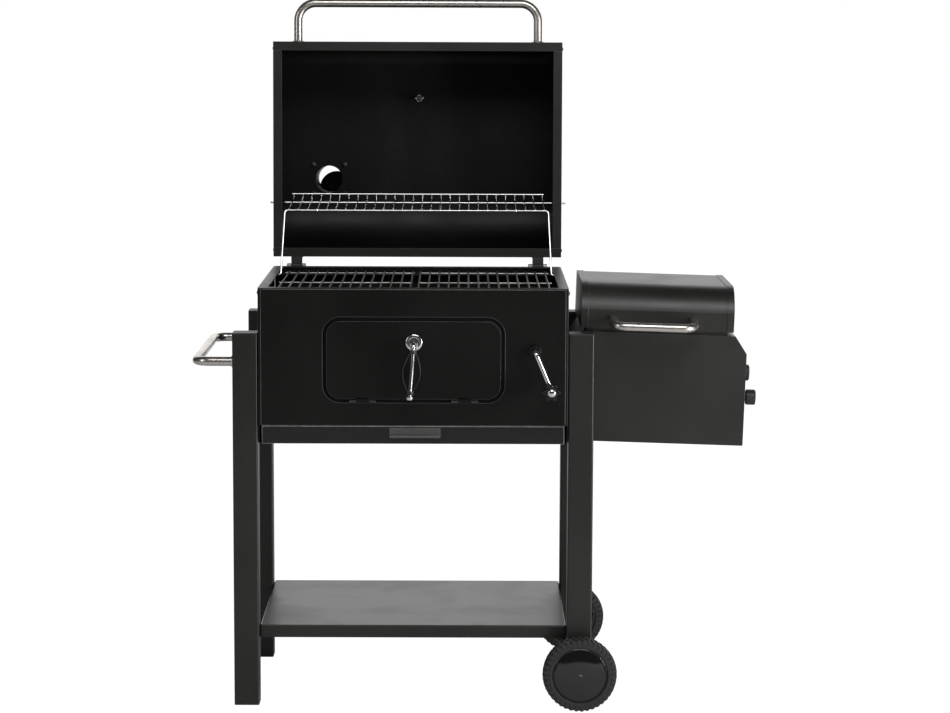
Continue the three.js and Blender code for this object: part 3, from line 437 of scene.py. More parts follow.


# the edge colour and its amount paint a highlight along the rounded edges
satinLook = dict(dark=(0.0092, 0.009, 0.0080), light=(0.0146, 0.0142, 0.0126), edge=(0.07, 0.07, 0.067), shine=0.5,
                 rough=0.36, smearRough=0.05, coat=0.0, coatRough=0.2, peel=1400.0, clouds=4.0, patches=45.0,
                 edgeShine=0.6, smears=5.0, dust=220.0, dusting=0.05, bump=0.25)
satinBlack = paintedSteel("satinBlack", satinLook)
innerBlack = paintedSteel("innerBlack", {**satinLook, "rough": 0.42, "dusting": 0.08, "peel": 1100.0})
# near-black for the door frame seen through the groove round the door: painted shade in the groove
grooveShadeBlack = paintedSteel("grooveShadeBlack", {**satinLook, "dark": (0.002, 0.002, 0.002), "light": (0.003, 0.003, 0.003),
                                           "rough": 0.7, "shine": 0.12, "edgeShine": 0.0, "dusting": 0.0})
# a darker copy of the satin black for the chamber's front and sides and the door: painted shade where these faces
# mirror a dark room, with a stronger painted highlight on their edges
shadedPanelBlack = paintedSteel("shadedPanelBlack", {**satinLook, "dark": (0.003, 0.003, 0.0026),
                                         "light": (0.0052, 0.0051, 0.0045),
                                         "rough": 0.34, "shine": 0.24, "edge": (0.22, 0.22, 0.21), "edgeShine": 0.9})
# a darker black with more dust for the lid's inner faces: the darker tone is painted shade inside the lid, the dust
# is real
insideShadeDustBlack = paintedSteel("insideShadeDustBlack", {**satinLook, "dark": (0.0022, 0.0022, 0.002), "light": (0.004, 0.004, 0.0036),
                                       "rough": 0.38, "shine": 0.2, "smearRough": 0.12, "dusting": 0.1})
# a lighter black for the bead round the doorway: painted highlight on the rounded lip of the opening
beadHighlightBlack = paintedSteel("beadHighlightBlack", {**satinLook, "dark": (0.012, 0.012, 0.011), "light": (0.02, 0.02, 0.019),
                                       "rough": 0.3, "edge": (0.14, 0.14, 0.135)})
# the drawer's rounded edges take a strong painted highlight
glossBlack = paintedSteel("glossBlack", {**satinLook, "dark": (0.006, 0.006, 0.006), "light": (0.009, 0.009, 0.009),
                                         "rough": 0.16, "smearRough": 0.06, "coat": 0.3, "coatRough": 0.06,
                                         "bump": 0.06, "edgeShine": 1.0, "edge": (0.4, 0.4, 0.39)})
mouldedBlack = paintedSteel("mouldedBlack", {**satinLook, "dark": (0.012, 0.012, 0.0125), "rough": 0.45,
                                             "peel": 700.0,
                                             "light": (0.02, 0.02, 0.0205), "bump": 0.35, "edgeShine": 0.2})
glossPlastic = paintedSteel("glossPlastic", {**satinLook, "dark": (0.004, 0.004, 0.0042), "rough": 0.05, "coat": 0.5,
                                             "light": (0.006, 0.006, 0.0062), "smearRough": 0.03, "coatRough": 0.03,
                                             "bump": 0.02, "edgeShine": 0.1, "dusting": 0.02})
brushedLook = dict(dark=(0.50, 0.465, 0.425), light=(0.70, 0.665, 0.625), stain=(0.42, 0.38, 0.33), rough=0.2,
                   roughSpread=0.16, smearRough=0.06, tarnish=0.25, lines=420.0, along=2.5, smears=14.0, dust=150.0,
                   bump=0.22)
brushedSteel = bareMetal("brushedSteel", brushedLook)
chromeFinish = bareMetal("chromeFinish", {**brushedLook, "dark": (0.72, 0.72, 0.73), "light": (0.84, 0.84, 0.85),
                                          "stain": (0.5, 0.48, 0.46),
                                          "rough": 0.05, "roughSpread": 0.05, "bump": 0.03, "tarnish": 0.15})
platedWire = bareMetal("platedWire", {**brushedLook, "dark": (0.40, 0.385, 0.365), "light": (0.62, 0.60, 0.575),
                                      "stain": (0.16, 0.15, 0.14), "rough": 0.28, "bump": 0.15, "tarnish": 0.5})
zincSteel = bareMetal("zincSteel", {**brushedLook, "dark": (0.34, 0.34, 0.34), "light": (0.5, 0.5, 0.5),
                                    "stain": (0.25, 0.24, 0.22), "rough": 0.32, "tarnish": 0.5})


def makeRubber():
    made, tree, shader = startMaterial("tyreRubber", Specular_IOR_Level=0.35)
    grain = useGroup(tree, coatGrain, Peel=520.0, Clouds=30.0)
    marks = useGroup(tree, handling, Smears=30.0, Dust=300.0)
    base = blendColour(tree, grain.outputs["Tone"], (0.014, 0.014, 0.0135), (0.026, 0.026, 0.025))
    dusty = blendColour(tree, calc(tree, "MULTIPLY", marks.outputs["Dust"], 0.35), base, (0.09, 0.085, 0.08))
    tree.links.new(dusty, shader.inputs["Base Color"])
    tree.links.new(calc(tree, "MULTIPLY_ADD", marks.outputs["Smear"], 0.15, 0.6), shader.inputs["Roughness"])
    bump = addNode(tree, "ShaderNodeBump", Strength=0.4, Distance=0.0003, Height=grain.outputs["Height"])
    tree.links.new(bump.outputs[0], shader.inputs["Normal"])
    return made


tyreRubber = makeRubber()
print("finishes mixed")


# Geometry Nodes kit: rows, rings and screws
def newTree(name, inputs):
    tree = bpy.data.node_groups.new(name, "GeometryNodeTree")
    tree.interface.new_socket("Geometry", in_out="INPUT", socket_type="NodeSocketGeometry")
    for label, kind, value in inputs:
        socket = tree.interface.new_socket(label, in_out="INPUT", socket_type=kind)
        if value is not None:
            socket.default_value = value
    tree.interface.new_socket("Geometry", in_out="OUTPUT", socket_type="NodeSocketGeometry")
    return tree, tree.nodes.new("NodeGroupInput"), tree.nodes.new("NodeGroupOutput")


def closeTree(tree, given, out, instances):
    real = addNode(tree, "GeometryNodeRealizeInstances", Geometry=instances)
    coated = addNode(tree, "GeometryNodeSetMaterial", Geometry=real.outputs[0], Material=given.outputs["Finish"])
    tree.links.new(coated.outputs[0], out.inputs[0])
    return tree


def makeWireRow():
    # one drawn line becomes a round wire, repeated side by side
    tree, given, out = newTree("wireRow", [("Count", "NodeSocketInt", 10), ("Pitch", "NodeSocketFloat", 20.0),
                                           ("Thickness", "NodeSocketFloat", 3.0), ("Sides", "NodeSocketInt", 10),
                                           ("Finish", "NodeSocketMaterial", None)])
    line = addNode(tree, "GeometryNodeMeshToCurve", Mesh=given.outputs["Geometry"])
    half = calc(tree, "MULTIPLY", given.outputs["Thickness"], 0.5)
    ring = addNode(tree, "GeometryNodeCurvePrimitiveCircle", Resolution=given.outputs["Sides"], Radius=half)
    wire = addNode(tree, "GeometryNodeCurveToMesh", {}, Curve=line.outputs[0])
    wire.inputs["Fill Caps"].default_value = True
    tree.links.new(ring.outputs[0], wire.inputs["Profile Curve"])
    step = addNode(tree, "ShaderNodeCombineXYZ", X=given.outputs["Pitch"])
    row = addNode(tree, "GeometryNodeMeshLine", Count=given.outputs["Count"], Offset=step.outputs[0])
    placed = addNode(tree, "GeometryNodeInstanceOnPoints", Points=row.outputs[0], Instance=wire.outputs[0])
    return closeTree(tree, given, out, placed.outputs[0])


def makeItemRow():
    # one made item, repeated side by side
    tree, given, out = newTree("itemRow", [("Count", "NodeSocketInt", 10), ("Pitch", "NodeSocketFloat", 20.0),
                                           ("Finish", "NodeSocketMaterial", None)])
    step = addNode(tree, "ShaderNodeCombineXYZ", X=given.outputs["Pitch"])
    row = addNode(tree, "GeometryNodeMeshLine", Count=given.outputs["Count"], Offset=step.outputs[0])
    placed = addNode(tree, "GeometryNodeInstanceOnPoints", Points=row.outputs[0], Instance=given.outputs["Geometry"])
    return closeTree(tree, given, out, placed.outputs[0])


def makeItemRing():
    # one made item, repeated round the upright axis
    tree, given, out = newTree("itemRing", [("Count", "NodeSocketInt", 12), ("Start", "NodeSocketFloat", 0.0),
                                            ("Finish", "NodeSocketMaterial", None)])
    points = addNode(tree, "GeometryNodePoints", Count=given.outputs["Count"])
    number = tree.nodes.new("GeometryNodeInputIndex").outputs[0]
    share = calc(tree, "DIVIDE", calc(tree, "ADD", number, given.outputs["Start"]), given.outputs["Count"])
    angle = calc(tree, "MULTIPLY", share, 2 * math.pi)
    turned = addNode(tree, "ShaderNodeCombineXYZ", Z=angle)
    placed = addNode(tree, "GeometryNodeInstanceOnPoints", Points=points.outputs[0],
                     Instance=given.outputs["Geometry"])
    tree.links.new(turned.outputs[0], placed.inputs["Rotation"])
    return closeTree(tree, given, out, placed.outputs[0])


def makeScrewSet():
    # a domed head with a cross slot on every point, facing the way that the point's "facing" says
    tree, given, out = newTree("screwSet", [("Width", "NodeSocketFloat", 9.0), ("Height", "NodeSocketFloat", 3.0),
                                            ("Slot", "NodeSocketFloat", 1.1), ("Finish", "NodeSocketMaterial", None)])
    half = calc(tree, "MULTIPLY", given.outputs["Width"], 0.5)
    ball = addNode(tree, "GeometryNodeMeshUVSphere", Segments=20, Rings=12, Radius=half)
    squash = calc(tree, "DIVIDE", given.outputs["Height"], half)
    scale = addNode(tree, "ShaderNodeCombineXYZ", X=1.0, Y=1.0, Z=squash)
    dome = addNode(tree, "GeometryNodeTransform", Geometry=ball.outputs[0], Scale=scale.outputs[0])
    long = calc(tree, "MULTIPLY", given.outputs["Width"], 0.62)
    deep = calc(tree, "MULTIPLY", given.outputs["Height"], 0.9)
    cutters = addNode(tree, "GeometryNodeJoinGeometry")
    for across in (True, False):
        sides = dict(X=long, Y=given.outputs["Slot"]) if across else dict(X=given.outputs["Slot"], Y=long)
        size = addNode(tree, "ShaderNodeCombineXYZ", Z=deep, **sides)
        bar = addNode(tree, "GeometryNodeMeshCube", Size=size.outputs[0])
        up = addNode(tree, "ShaderNodeCombineXYZ", Z=given.outputs["Height"])
        raised = addNode(tree, "GeometryNodeTransform", Geometry=bar.outputs[0], Translation=up.outputs[0])
        tree.links.new(raised.outputs[0], cutters.inputs[0])
    slotted = addNode(tree, "GeometryNodeMeshBoolean", dict(operation="DIFFERENCE"))
    tree.links.new(dome.outputs[0], slotted.inputs["Mesh 1"])
    tree.links.new(cutters.outputs[0], slotted.inputs["Mesh 2"])
    facing = addNode(tree, "GeometryNodeInputNamedAttribute", dict(data_type="FLOAT_VECTOR"), Name="facing")
    turned = addNode(tree, "FunctionNodeAlignRotationToVector", dict(axis="Z"), Vector=facing.outputs[0])
    placed = addNode(tree, "GeometryNodeInstanceOnPoints", Points=given.outputs["Geometry"],
                     Instance=slotted.outputs[0])
    tree.links.new(turned.outputs[0], placed.inputs["Rotation"])
    return closeTree(tree, given, out, placed.outputs[0])


wireRow, itemRow, itemRing, screwSet = makeWireRow(), makeItemRow(), makeItemRing(), makeScrewSet()


def grow(tree, mesh, **values):
    # runs a tree on a mesh and gives back the plain result
    holder = bpy.data.objects.new("holder", mesh)
    scene.collection.objects.link(holder)
    modifier = holder.modifiers.new("grow", "NODES")
    modifier.node_group = tree
    for item in tree.interface.items_tree:
        if item.item_type == "SOCKET" and item.in_out == "INPUT" and item.name in values:
            modifier[item.identifier] = values[item.name]
    bpy.context.view_layer.update()
    result = bpy.data.meshes.new_from_object(holder.evaluated_get(bpy.context.evaluated_depsgraph_get()))
    holder.modifiers.remove(modifier)
    bpy.data.objects.remove(holder)
    return result


def lineMesh(points):
    mesh = bpy.data.meshes.new("line")
    mesh.from_pydata([tuple(p) for p in points], [(i, i + 1) for i in range(len(points) - 1)], [])
    return mesh


def asMesh(bm, edge=0.0, segments=2):
    bmesh.ops.remove_doubles(bm, verts=bm.verts, dist=0.002)
    bmesh.ops.recalc_face_normals(bm, faces=bm.faces)
    if edge:
        softenEdges(bm, edge, segments)
    mesh = bpy.data.meshes.new("item")
    bm.to_mesh(mesh)
    bm.free()
    return mesh


def merge(*meshes, turns=None):
    bm = bmesh.new()
    for i, mesh in enumerate(meshes):
        if turns:
            mesh.transform(turns[i])
        bm.from_mesh(mesh)
    return bm


def addScrews(name, spots, body, coat, width=9.0, height=3.0, turn=None):
    # spots are pairs of a place and the way the head faces
    mesh = bpy.data.meshes.new("spots")
    mesh.from_pydata([tuple(place) for place, _ in spots], [], [])
    facing = mesh.attributes.new("facing", "FLOAT_VECTOR", "POINT")
    facing.data.foreach_set("vector", [c for _, way in spots for c in way])
    heads = grow(screwSet, mesh, Width=width, Height=height, Slot=width * 0.13, Finish=coat)
    return makePiece(name, heads, coat, body, turn=turn, smooth=40)


print("repeating kit ready")

# legs, shelf and side handle
legShape = dict(corner=3.5, wall=1.6, capEdge=0.9, footEdge=0.8)
shelfShape = dict(fold=3.0, sheet=1.6, ribWidth=16)


def addLegs(shape):
    for end in ("front", "back"):
        for side in ("left", "right"):
            low, high = extent(f"leg_{end}_{side}")
            inner = rect(low.x + shape["wall"], high.x - shape["wall"], low.y + shape["wall"], high.y - shape["wall"])
            outline = rounded(rect(low.x, high.x, low.y, high.y), shape["corner"], 5)
            bm = slab(bmesh.new(), "z", outline, low.z, high.z, [rounded(inner, shape["corner"] / 2, 3)])
            makePiece(f"{end}{side.title()}Leg", bm, satinBlack, "frame", [f"leg_{end}_{side}"], 0.35,
                      1)
            capLow, capHigh = extent(f"leg_cap_{end}_{side}")
            cap = slab(bmesh.new(), "z", rounded(rect(capLow.x, capHigh.x, capLow.y, capHigh.y), shape["corner"], 5),
                       high.z + 0.3, capHigh.z)
            slab(cap, "z", rounded(inner, 1.5, 3), capLow.z, high.z + 0.5)
            makePiece(f"{end}{side.title()}LegCap", cap, mouldedBlack, "frame", [f"leg_cap_{end}_{side}"],
                      shape["capEdge"], 3)
        padLow, padHigh = extent(f"foot_{end}")
        legBase = extent(f"leg_{end}_left")[0].z
        pad = slab(bmesh.new(), "z", rounded(rect(padLow.x, padHigh.x, padLow.y, padHigh.y), 4, 5), 0, legBase - 0.3)
        slab(pad, "z", rounded(rect(padLow.x + 4, padHigh.x - 4, padLow.y + 4, padHigh.y - 4), 2, 3), legBase - 0.5,
             padHigh.z)
        makePiece(f"{end}FootPad", pad, mouldedBlack, "frame", [f"foot_{end}"], shape["footEdge"], 2)


def openTray(bm, low, high, sheet, fold, openUp):
    # a pan folded from one sheet, with round folds: an outer skin and an inner skin joined at the rim
    skins = []
    for inset in (0, sheet):
        size = max(fold - inset, 0.6)
        flat = rounded(rect(low.x + inset, high.x - inset, low.y + inset, high.y - inset), size, 5)
        middle = Vector(((low.x + high.x) / 2, (low.y + high.y) / 2))
        closedEnd = low.z + inset if openUp else high.z - inset
        openEnd = high.z if openUp else low.z
        sign = 1 if openUp else -1
        rings = []
        for k in range(5):
            turn = math.pi / 2 * k / 4
            pull, rise = size * (1 - math.sin(turn)), size * (1 - math.cos(turn))
            span2 = Vector(((high.x - low.x) / 2 - inset, (high.y - low.y) / 2 - inset))
            shrink = Vector(((span2.x - pull) / span2.x, (span2.y - pull) / span2.y))
            rings.append([bm.verts.new((middle.x + (p.x - middle.x) * shrink.x,
                                        middle.y + (p.y - middle.y) * shrink.y,
                                        closedEnd + sign * rise)) for p in flat])
        rings.append([bm.verts.new((p.x, p.y, openEnd)) for p in flat])
        for one, two in zip(rings, rings[1:]):
            for i in range(len(flat)):
                bm.faces.new((one[i - 1], one[i], two[i], two[i - 1]))
        bm.faces.new(rings[0])
        skins.append(rings[-1])
    for i in range(len(skins[0])):
        bm.faces.new((skins[0][i - 1], skins[0][i], skins[1][i], skins[1][i - 1]))
    return bm


def addShelf(shape):
    low, high = extent("bottom_shelf")
    bm = openTray(bmesh.new(), low, high, shape["sheet"], shape["fold"], False)
    for share in (0.25, 0.5, 0.75):
        x = low.x + (high.x - low.x) * share
        slab(bm, "x", rounded(rect(low.y + 30, high.y - 30, high.z - 12, high.z - shape["sheet"] + 0.2), 1, 2),
             x - shape["ribWidth"] / 2, x + shape["ribWidth"] / 2)
    makePiece("lowerShelf", bm, satinBlack, "frame", ["bottom_shelf"])


sideHandleShape = dict(bend=28, flange=15, flangeThick=2.5)


def addSideHandle(shape):
    low, high = extent("side_handle")
    legSide = extent("leg_front_left")[0].x
    radius = (high.z - low.z) / 2
    z, x0 = (low.z + high.z) / 2, low.x + radius
    front, rear = low.y + radius, high.y - radius
    bm = tube(bmesh.new(), [(legSide - 0.3, front, z), (x0, front, z), (x0, rear, z), (legSide - 0.3, rear, z)],
              radius, shape["bend"], 28, 10)
    for y in (front, rear):
        lathe(bm, "x", [[radius - 1, -shape["flangeThick"]], [radius + 2.5, -shape["flangeThick"]],
                        [radius + 3.2, -0.8], [radius + 3.2, 0], [radius - 1, 0]], (legSide - 0.3, y, z), 32)
    makePiece("sideHandleBar", bm, brushedSteel, "frame", ["side_handle"], smooth=50)


addLegs(legShape)
addShelf(shelfShape)
addSideHandle(sideHandleShape)
print("stand built")

# wheels
wheelShape = dict(lugs=40, lugDepth=2.6, lugLength=13, lugWidth=6.6, ribs=8, ribThick=3, sides=96)


def addWheel(shape, end):
    low, high = extent(f"tyre_{end}")
    hubLow, hubHigh = extent(f"hub_{end}")
    middle = (low + high) / 2
    radius, half = (high.z - low.z) / 2, (high.y - low.y) / 2
    outward = -1 if end == "front" else 1
    face = abs((hubLow.y if outward < 0 else hubHigh.y) - middle.y)
    hub = (hubHigh.z - hubLow.z) / 2
    base = radius - shape["lugDepth"]
    rim = hub + 0.3
    tyre = lathe(bmesh.new(), "z", [[rim, -half + 1], [rim + 2, -half], [rim + 6, -half], [rim + 7, -half + 0.8],
                                    [base - 4.5, -half + 0.8], [base - 1.2, -half + 2.6], [base, -half + 6],
                                    [base, half - 6], [base - 1.2, half - 2.6], [base - 4.5, half - 0.8],
                                    [rim + 7, half - 0.8], [rim + 6, half], [rim + 2, half], [rim, half - 1]],
                 sides=shape["sides"])
    parts, turns = [asMesh(tyre)], [Matrix()]
    lugs = []
    for sign in (-1, 1):
        bm = bmesh.new()
        y0, y1 = (1.2, half - 1) if sign > 0 else (-half + 1, -1.2)
        wide, slant = shape["lugWidth"] / 2, 1.6 * sign
        outline = [(-wide + slant, y0), (wide + slant, y0), (wide - slant, y1), (-wide - slant, y1)]
        slab(bm, "x", outline, base - 2, radius)
        for v in bm.verts:
            if v.co.x > radius - 0.1 and abs(v.co.z) > half - 2:
                v.co.x, v.co.z = radius - 2.2, v.co.z
        low2, high2 = base - shape["lugLength"] + 4, base + 0.4
        edgeAt = sign * (half - 0.8)
        slab(bm, "x", [(-wide * 0.8 - slant, edgeAt - sign * 2), (wide * 0.8 - slant, edgeAt - sign * 2),
                       (wide * 0.8 - slant, edgeAt + sign * 0.8),
                        (-wide * 0.8 - slant, edgeAt + sign * 0.8)], low2, high2)
        item = asMesh(bm, 0.7, 1)
        lugs.append(grow(itemRing, item, Count=shape["lugs"], Start=0.5 if sign > 0 else 0.0, Finish=tyreRubber))
    flip = Matrix.Translation(middle) @ Matrix.Rotation(deg(90), 4, "X")
    makePiece(f"{end}Tyre", merge(*parts, *lugs, turns=turns + [Matrix(), Matrix()]), tyreRubber, f"wheel_{end}",
              [f"tyre_{end}"], turn=flip, smooth=42)
    dome = [[0, face], [3.2, face], [4.2, face - 0.7], [9, face - 0.35]]
    dome += [[9 + (hub - 14) * t, face - 0.35 - 4.2 * t ** 2.2] for t in (0.2, 0.4, 0.6, 0.8, 1.0)]
    dome += [[hub - 3.2, face - 6.2], [hub - 2.4, face - 7.6], [hub - 1.2, face - 7.6], [hub, face - 8.4],
             [hub, -half + 8], [hub - 4, -half + 8], [hub - 4, half - 12], [12, half - 14], [12, -half + 6],
             [7, -half + 6], [7, half - 16], [0, half - 16]]
    cap = asMesh(lathe(bmesh.new(), "z", dome, sides=shape["sides"]))
    rib = slab(bmesh.new(), "x", rect(-shape["ribThick"] / 2, shape["ribThick"] / 2, -half + 10, half - 12), 11,
               hub - 3)
    ribs = grow(itemRing, asMesh(rib, 0.5, 1), Count=shape["ribs"], Finish=glossPlastic)
    facing = Matrix.Rotation(deg(90 if outward < 0 else -90), 4, "X")
    makePiece(f"{end}HubCap", merge(cap, ribs), glossPlastic, f"wheel_{end}", [f"hub_{end}"],
              turn=Matrix.Translation(middle) @ facing, smooth=30)


def addAxle():
    low, high = extent("axle")
    middle = (low + high) / 2
    radius = (high.z - low.z) / 2
    rod = lathe(bmesh.new(), "y", rodLine(radius, low.y, high.y, 1), (middle.x, 0, middle.z), 32)
    legs = [extent(f"leg_{end}_right") for end in ("front", "back")]
    for (legA, legB), sign in zip(legs, (-1, 1)):
        y = legA.y if sign < 0 else legB.y
        nut = slab(bmesh.new(), "y", circle(10.5, 6, (middle.x, middle.z)), y + sign * 0.4, y + sign * 8)
        softenEdges(nut, 0.8, 2)
        extra = bpy.data.meshes.new("nut")
        nut.to_mesh(extra)
        nut.free()
        rod.from_mesh(extra)
        lathe(rod, "y", [[radius, sign * 8.2], [radius + 4, sign * 8.2], [radius + 4, sign * 9.8],
                         [radius, sign * 9.8]],
              (middle.x, y, middle.z), 24)
    makePiece("axleRod", rod, zincSteel, "frame", ["axle"], smooth=32)


for wheelEnd in ("front", "back"):
    addWheel(wheelShape, wheelEnd)
addAxle()
print("wheels built")


# chamber
def folded(points, thick, bend, steps=6):
    # the outline of a bent sheet that lies on the left of its line
    outer = rounded([Vector(p) for p in points], bend, steps, closed=False)
    inner = []
    for i, here in enumerate(outer):
        ways = [(b - a).normalized() for a, b in ((outer[max(i - 1, 0)], here),
                                                  (here, outer[min(i + 1, len(outer) - 1)]))
                if (b - a).length > 1e-6]
        along = sum(ways, Vector((0, 0))).normalized()
        mitre = 1 / max(along.dot(ways[0]), 0.5)
        inner.append(here + Vector((-along.y, along.x)) * thick * mitre)
    return outer + inner[::-1]


def carve(mesh, *tools):
    # cuts closed shapes out of a closed sheet
    holder = bpy.data.objects.new("carved", mesh)
    scene.collection.objects.link(holder)
    spare = []
    for tool in tools:
        cutter = bpy.data.objects.new("cutter", asMesh(tool))
        scene.collection.objects.link(cutter)
        modifier = holder.modifiers.new("carve", "BOOLEAN")
        modifier.object, modifier.operation, modifier.solver = cutter, "DIFFERENCE", "EXACT"
        spare.append(cutter)
    bpy.context.view_layer.update()
    result = bpy.data.meshes.new_from_object(holder.evaluated_get(bpy.context.evaluated_depsgraph_get()))
    for item in (holder, *spare):
        bpy.data.objects.remove(item)
    return result


chamberShape = dict(sheet=2.0, cornerStrip=5.2, cornerFold=4.0, lip=16, foldBase=8, bead=0.9, panelEdge=0.7,
                    rimEdge=0.7, screw=9.5)


def smokeHoleTool(low, high, grow, x0, x1):
    return block(bmesh.new(), x0, x1, low.y - grow, high.y + grow, low.z - grow, high.z + grow)


def addChamber(shape):
    low, high = extent("chamber_rim")
    sideLow, sideHigh = extent("chamber_left")
    sheet, strip = shape["sheet"], shape["cornerStrip"]
    sleeveLow, sleeveHigh = extent("smoke_sleeve")
    top, base = sideHigh.z, sideLow.z
    seam = low.y + strip + 3
    for name, sign in (("left", -1), ("right", 1)):
        outer, inner = sign * high.x, sign * (high.x - sheet)
        plate = slab(bmesh.new(), "x", rect(seam + 0.1, high.y, base + shape["foldBase"], top),
                     *sorted((outer, inner)))
        side = asMesh(plate, 0.3, 1)
        if sign > 0:
            side = carve(side, smokeHoleTool(sleeveLow, sleeveHigh, 0.4, inner - 3, outer + 3))
        line = [(-high.x, base + shape["foldBase"] - 0.1), (-high.x, base), (-high.x + shape["lip"], base)]
        if sign > 0:
            line = [(-x, z) for x, z in line][::-1]
        fold = slab(bmesh.new(), "y", folded(line, sheet, 3), seam - 3, high.y)
        corner = [(-high.x, seam), (-high.x, low.y + 0.6), (-high.x + strip, low.y + 0.6)]
        if sign > 0:
            corner = [(-x, y) for x, y in corner][::-1]
        edge = slab(bmesh.new(), "z", folded(corner, 1.6, shape["cornerFold"], 8), base + 36.7, top)
        piece = merge(side, asMesh(fold), asMesh(edge))
        makePiece(f"{name}ChamberSide", piece, shadedPanelBlack, "frame", [f"chamber_{name}"])
    inset = shape["lip"] + 4
    ring = slab(bmesh.new(), "z", rounded(rect(low.x, high.x, low.y, high.y), 2.5, 4), low.z, high.z,
                [rounded(rect(low.x + inset, high.x - inset, low.y + inset, high.y - inset), 3, 4)])
    makePiece("chamberRimFlange", ring, satinBlack, "frame", ["chamber_rim"], shape["rimEdge"], 2)
    spots = []
    for sign in (-1, 1):
        way = (sign, 0, 0)
        x = sign * high.x
        spots += [((x, low.y + 22, top - 9), way), ((x, low.y + 150, top - 9), way), ((x, high.y - 30, top - 9), way)]
        spots += [((x, low.y + 60, base + 30), way), ((x, high.y - 60, base + 30), way)]
    backY = extent("chamber_back")[1].y
    spots += [((x, backY, z), (0, 1, 0)) for x in (-290, -150, 0, 150, 290) for z in (base + 52, top - 14)]
    addScrews("chamberScrews", spots, "frame", mouldedBlack, shape["screw"], 3.0)


doorShape = dict(radius=28, groove=8.5, edge=1.5, knuckle=3.0, pin=1.6, slim=2.4)


def doorLine(grow):
    low, high = extent("charcoal_door")
    frameLow, frameHigh = extent("door_hinge_left")
    foot = (frameLow.z + frameHigh.z) / 2 + 5.5
    outline = rect(low.x - grow, high.x + grow, foot - grow, high.z + grow)
    return rounded(outline, doorShape["radius"] + grow, 12)


def addFrontPanel(shape):
    low, high = extent("front_panel")
    strip = shape["cornerStrip"] + 0.3
    shaft = jointPlace("crank_turn")
    opening = doorLine(doorShape["groove"])
    holes = [opening, circle(6, 20, (shaft.x, shaft.z))]
    panel = slab(bmesh.new(), "y", rect(low.x + strip, high.x - strip, low.z, high.z), low.y, high.y, holes)
    face = asMesh(panel, shape["panelEdge"], 2)
    bead = sweep(bmesh.new(), [(p.x, low.y + 0.3, p.y) for p in opening], circle(shape["bead"], 10), True, (0, 1, 0))
    makePiece("frontPanelSheet", face, shadedPanelBlack, "frame", ["front_panel"])
    makePiece("doorwayBead", bead, beadHighlightBlack, "frame")


def addDoor(shape):
    low, high = extent("charcoal_door")
    axis = jointPlace("charcoal_door_hinge")
    shaft = jointPlace("door_latch_turn")
    panel = slab(bmesh.new(), "y", doorLine(0), low.y, high.y, [circle(4.7, 20, (shaft.x, shaft.z))])
    skin = asMesh(panel, shape["edge"], 3)
    parts = [skin]
    for side in ("left", "right"):
        plateLow, plateHigh = extent(f"door_hinge_{side}")
        x = (plateLow.x + plateHigh.x) / 2
        tab = slab(bmesh.new(), "y", rounded(rect(x - 13, x + 13, axis.z, low.z + 10), 1, 2), low.y, low.y + 1.2)
        lathe(tab, "x", plugLine(shape["slim"], x - 13, x + 13),
              (0, axis.y, axis.z), 20)
        parts.append(asMesh(tab))
        plate = slab(bmesh.new(), "y", rounded(rect(plateLow.x, plateHigh.x, plateLow.z, plateHigh.z), 1.5, 3), -0.9,
                     -0.1)
        for x0, x1 in ((plateLow.x, x - 13.3), (x + 13.3, plateHigh.x)):
            lathe(plate, "x", rodLine(shape["knuckle"], x0, x1, 0.4, shape["pin"]),
                  (0, axis.y, axis.z), 24)
            lathe(plate, "x", plugLine(shape["pin"] - 0.2, x0 - 0.2, x1 + 0.2), (0, axis.y, axis.z), 16)
        makePiece(f"{side}DoorHinge", plate, mouldedBlack, "frame", [f"door_hinge_{side}"], smooth=35)
    makePiece("doorPanel", merge(*parts), shadedPanelBlack, "door", ["charcoal_door"])


handleShape = dict(plate=16.5, rod=4.0, reach=28, length=108, lean=4.3, bend=8, cage=21.5, cageLength=82, wire=0.95,
                   wires=6, tip=7.5)


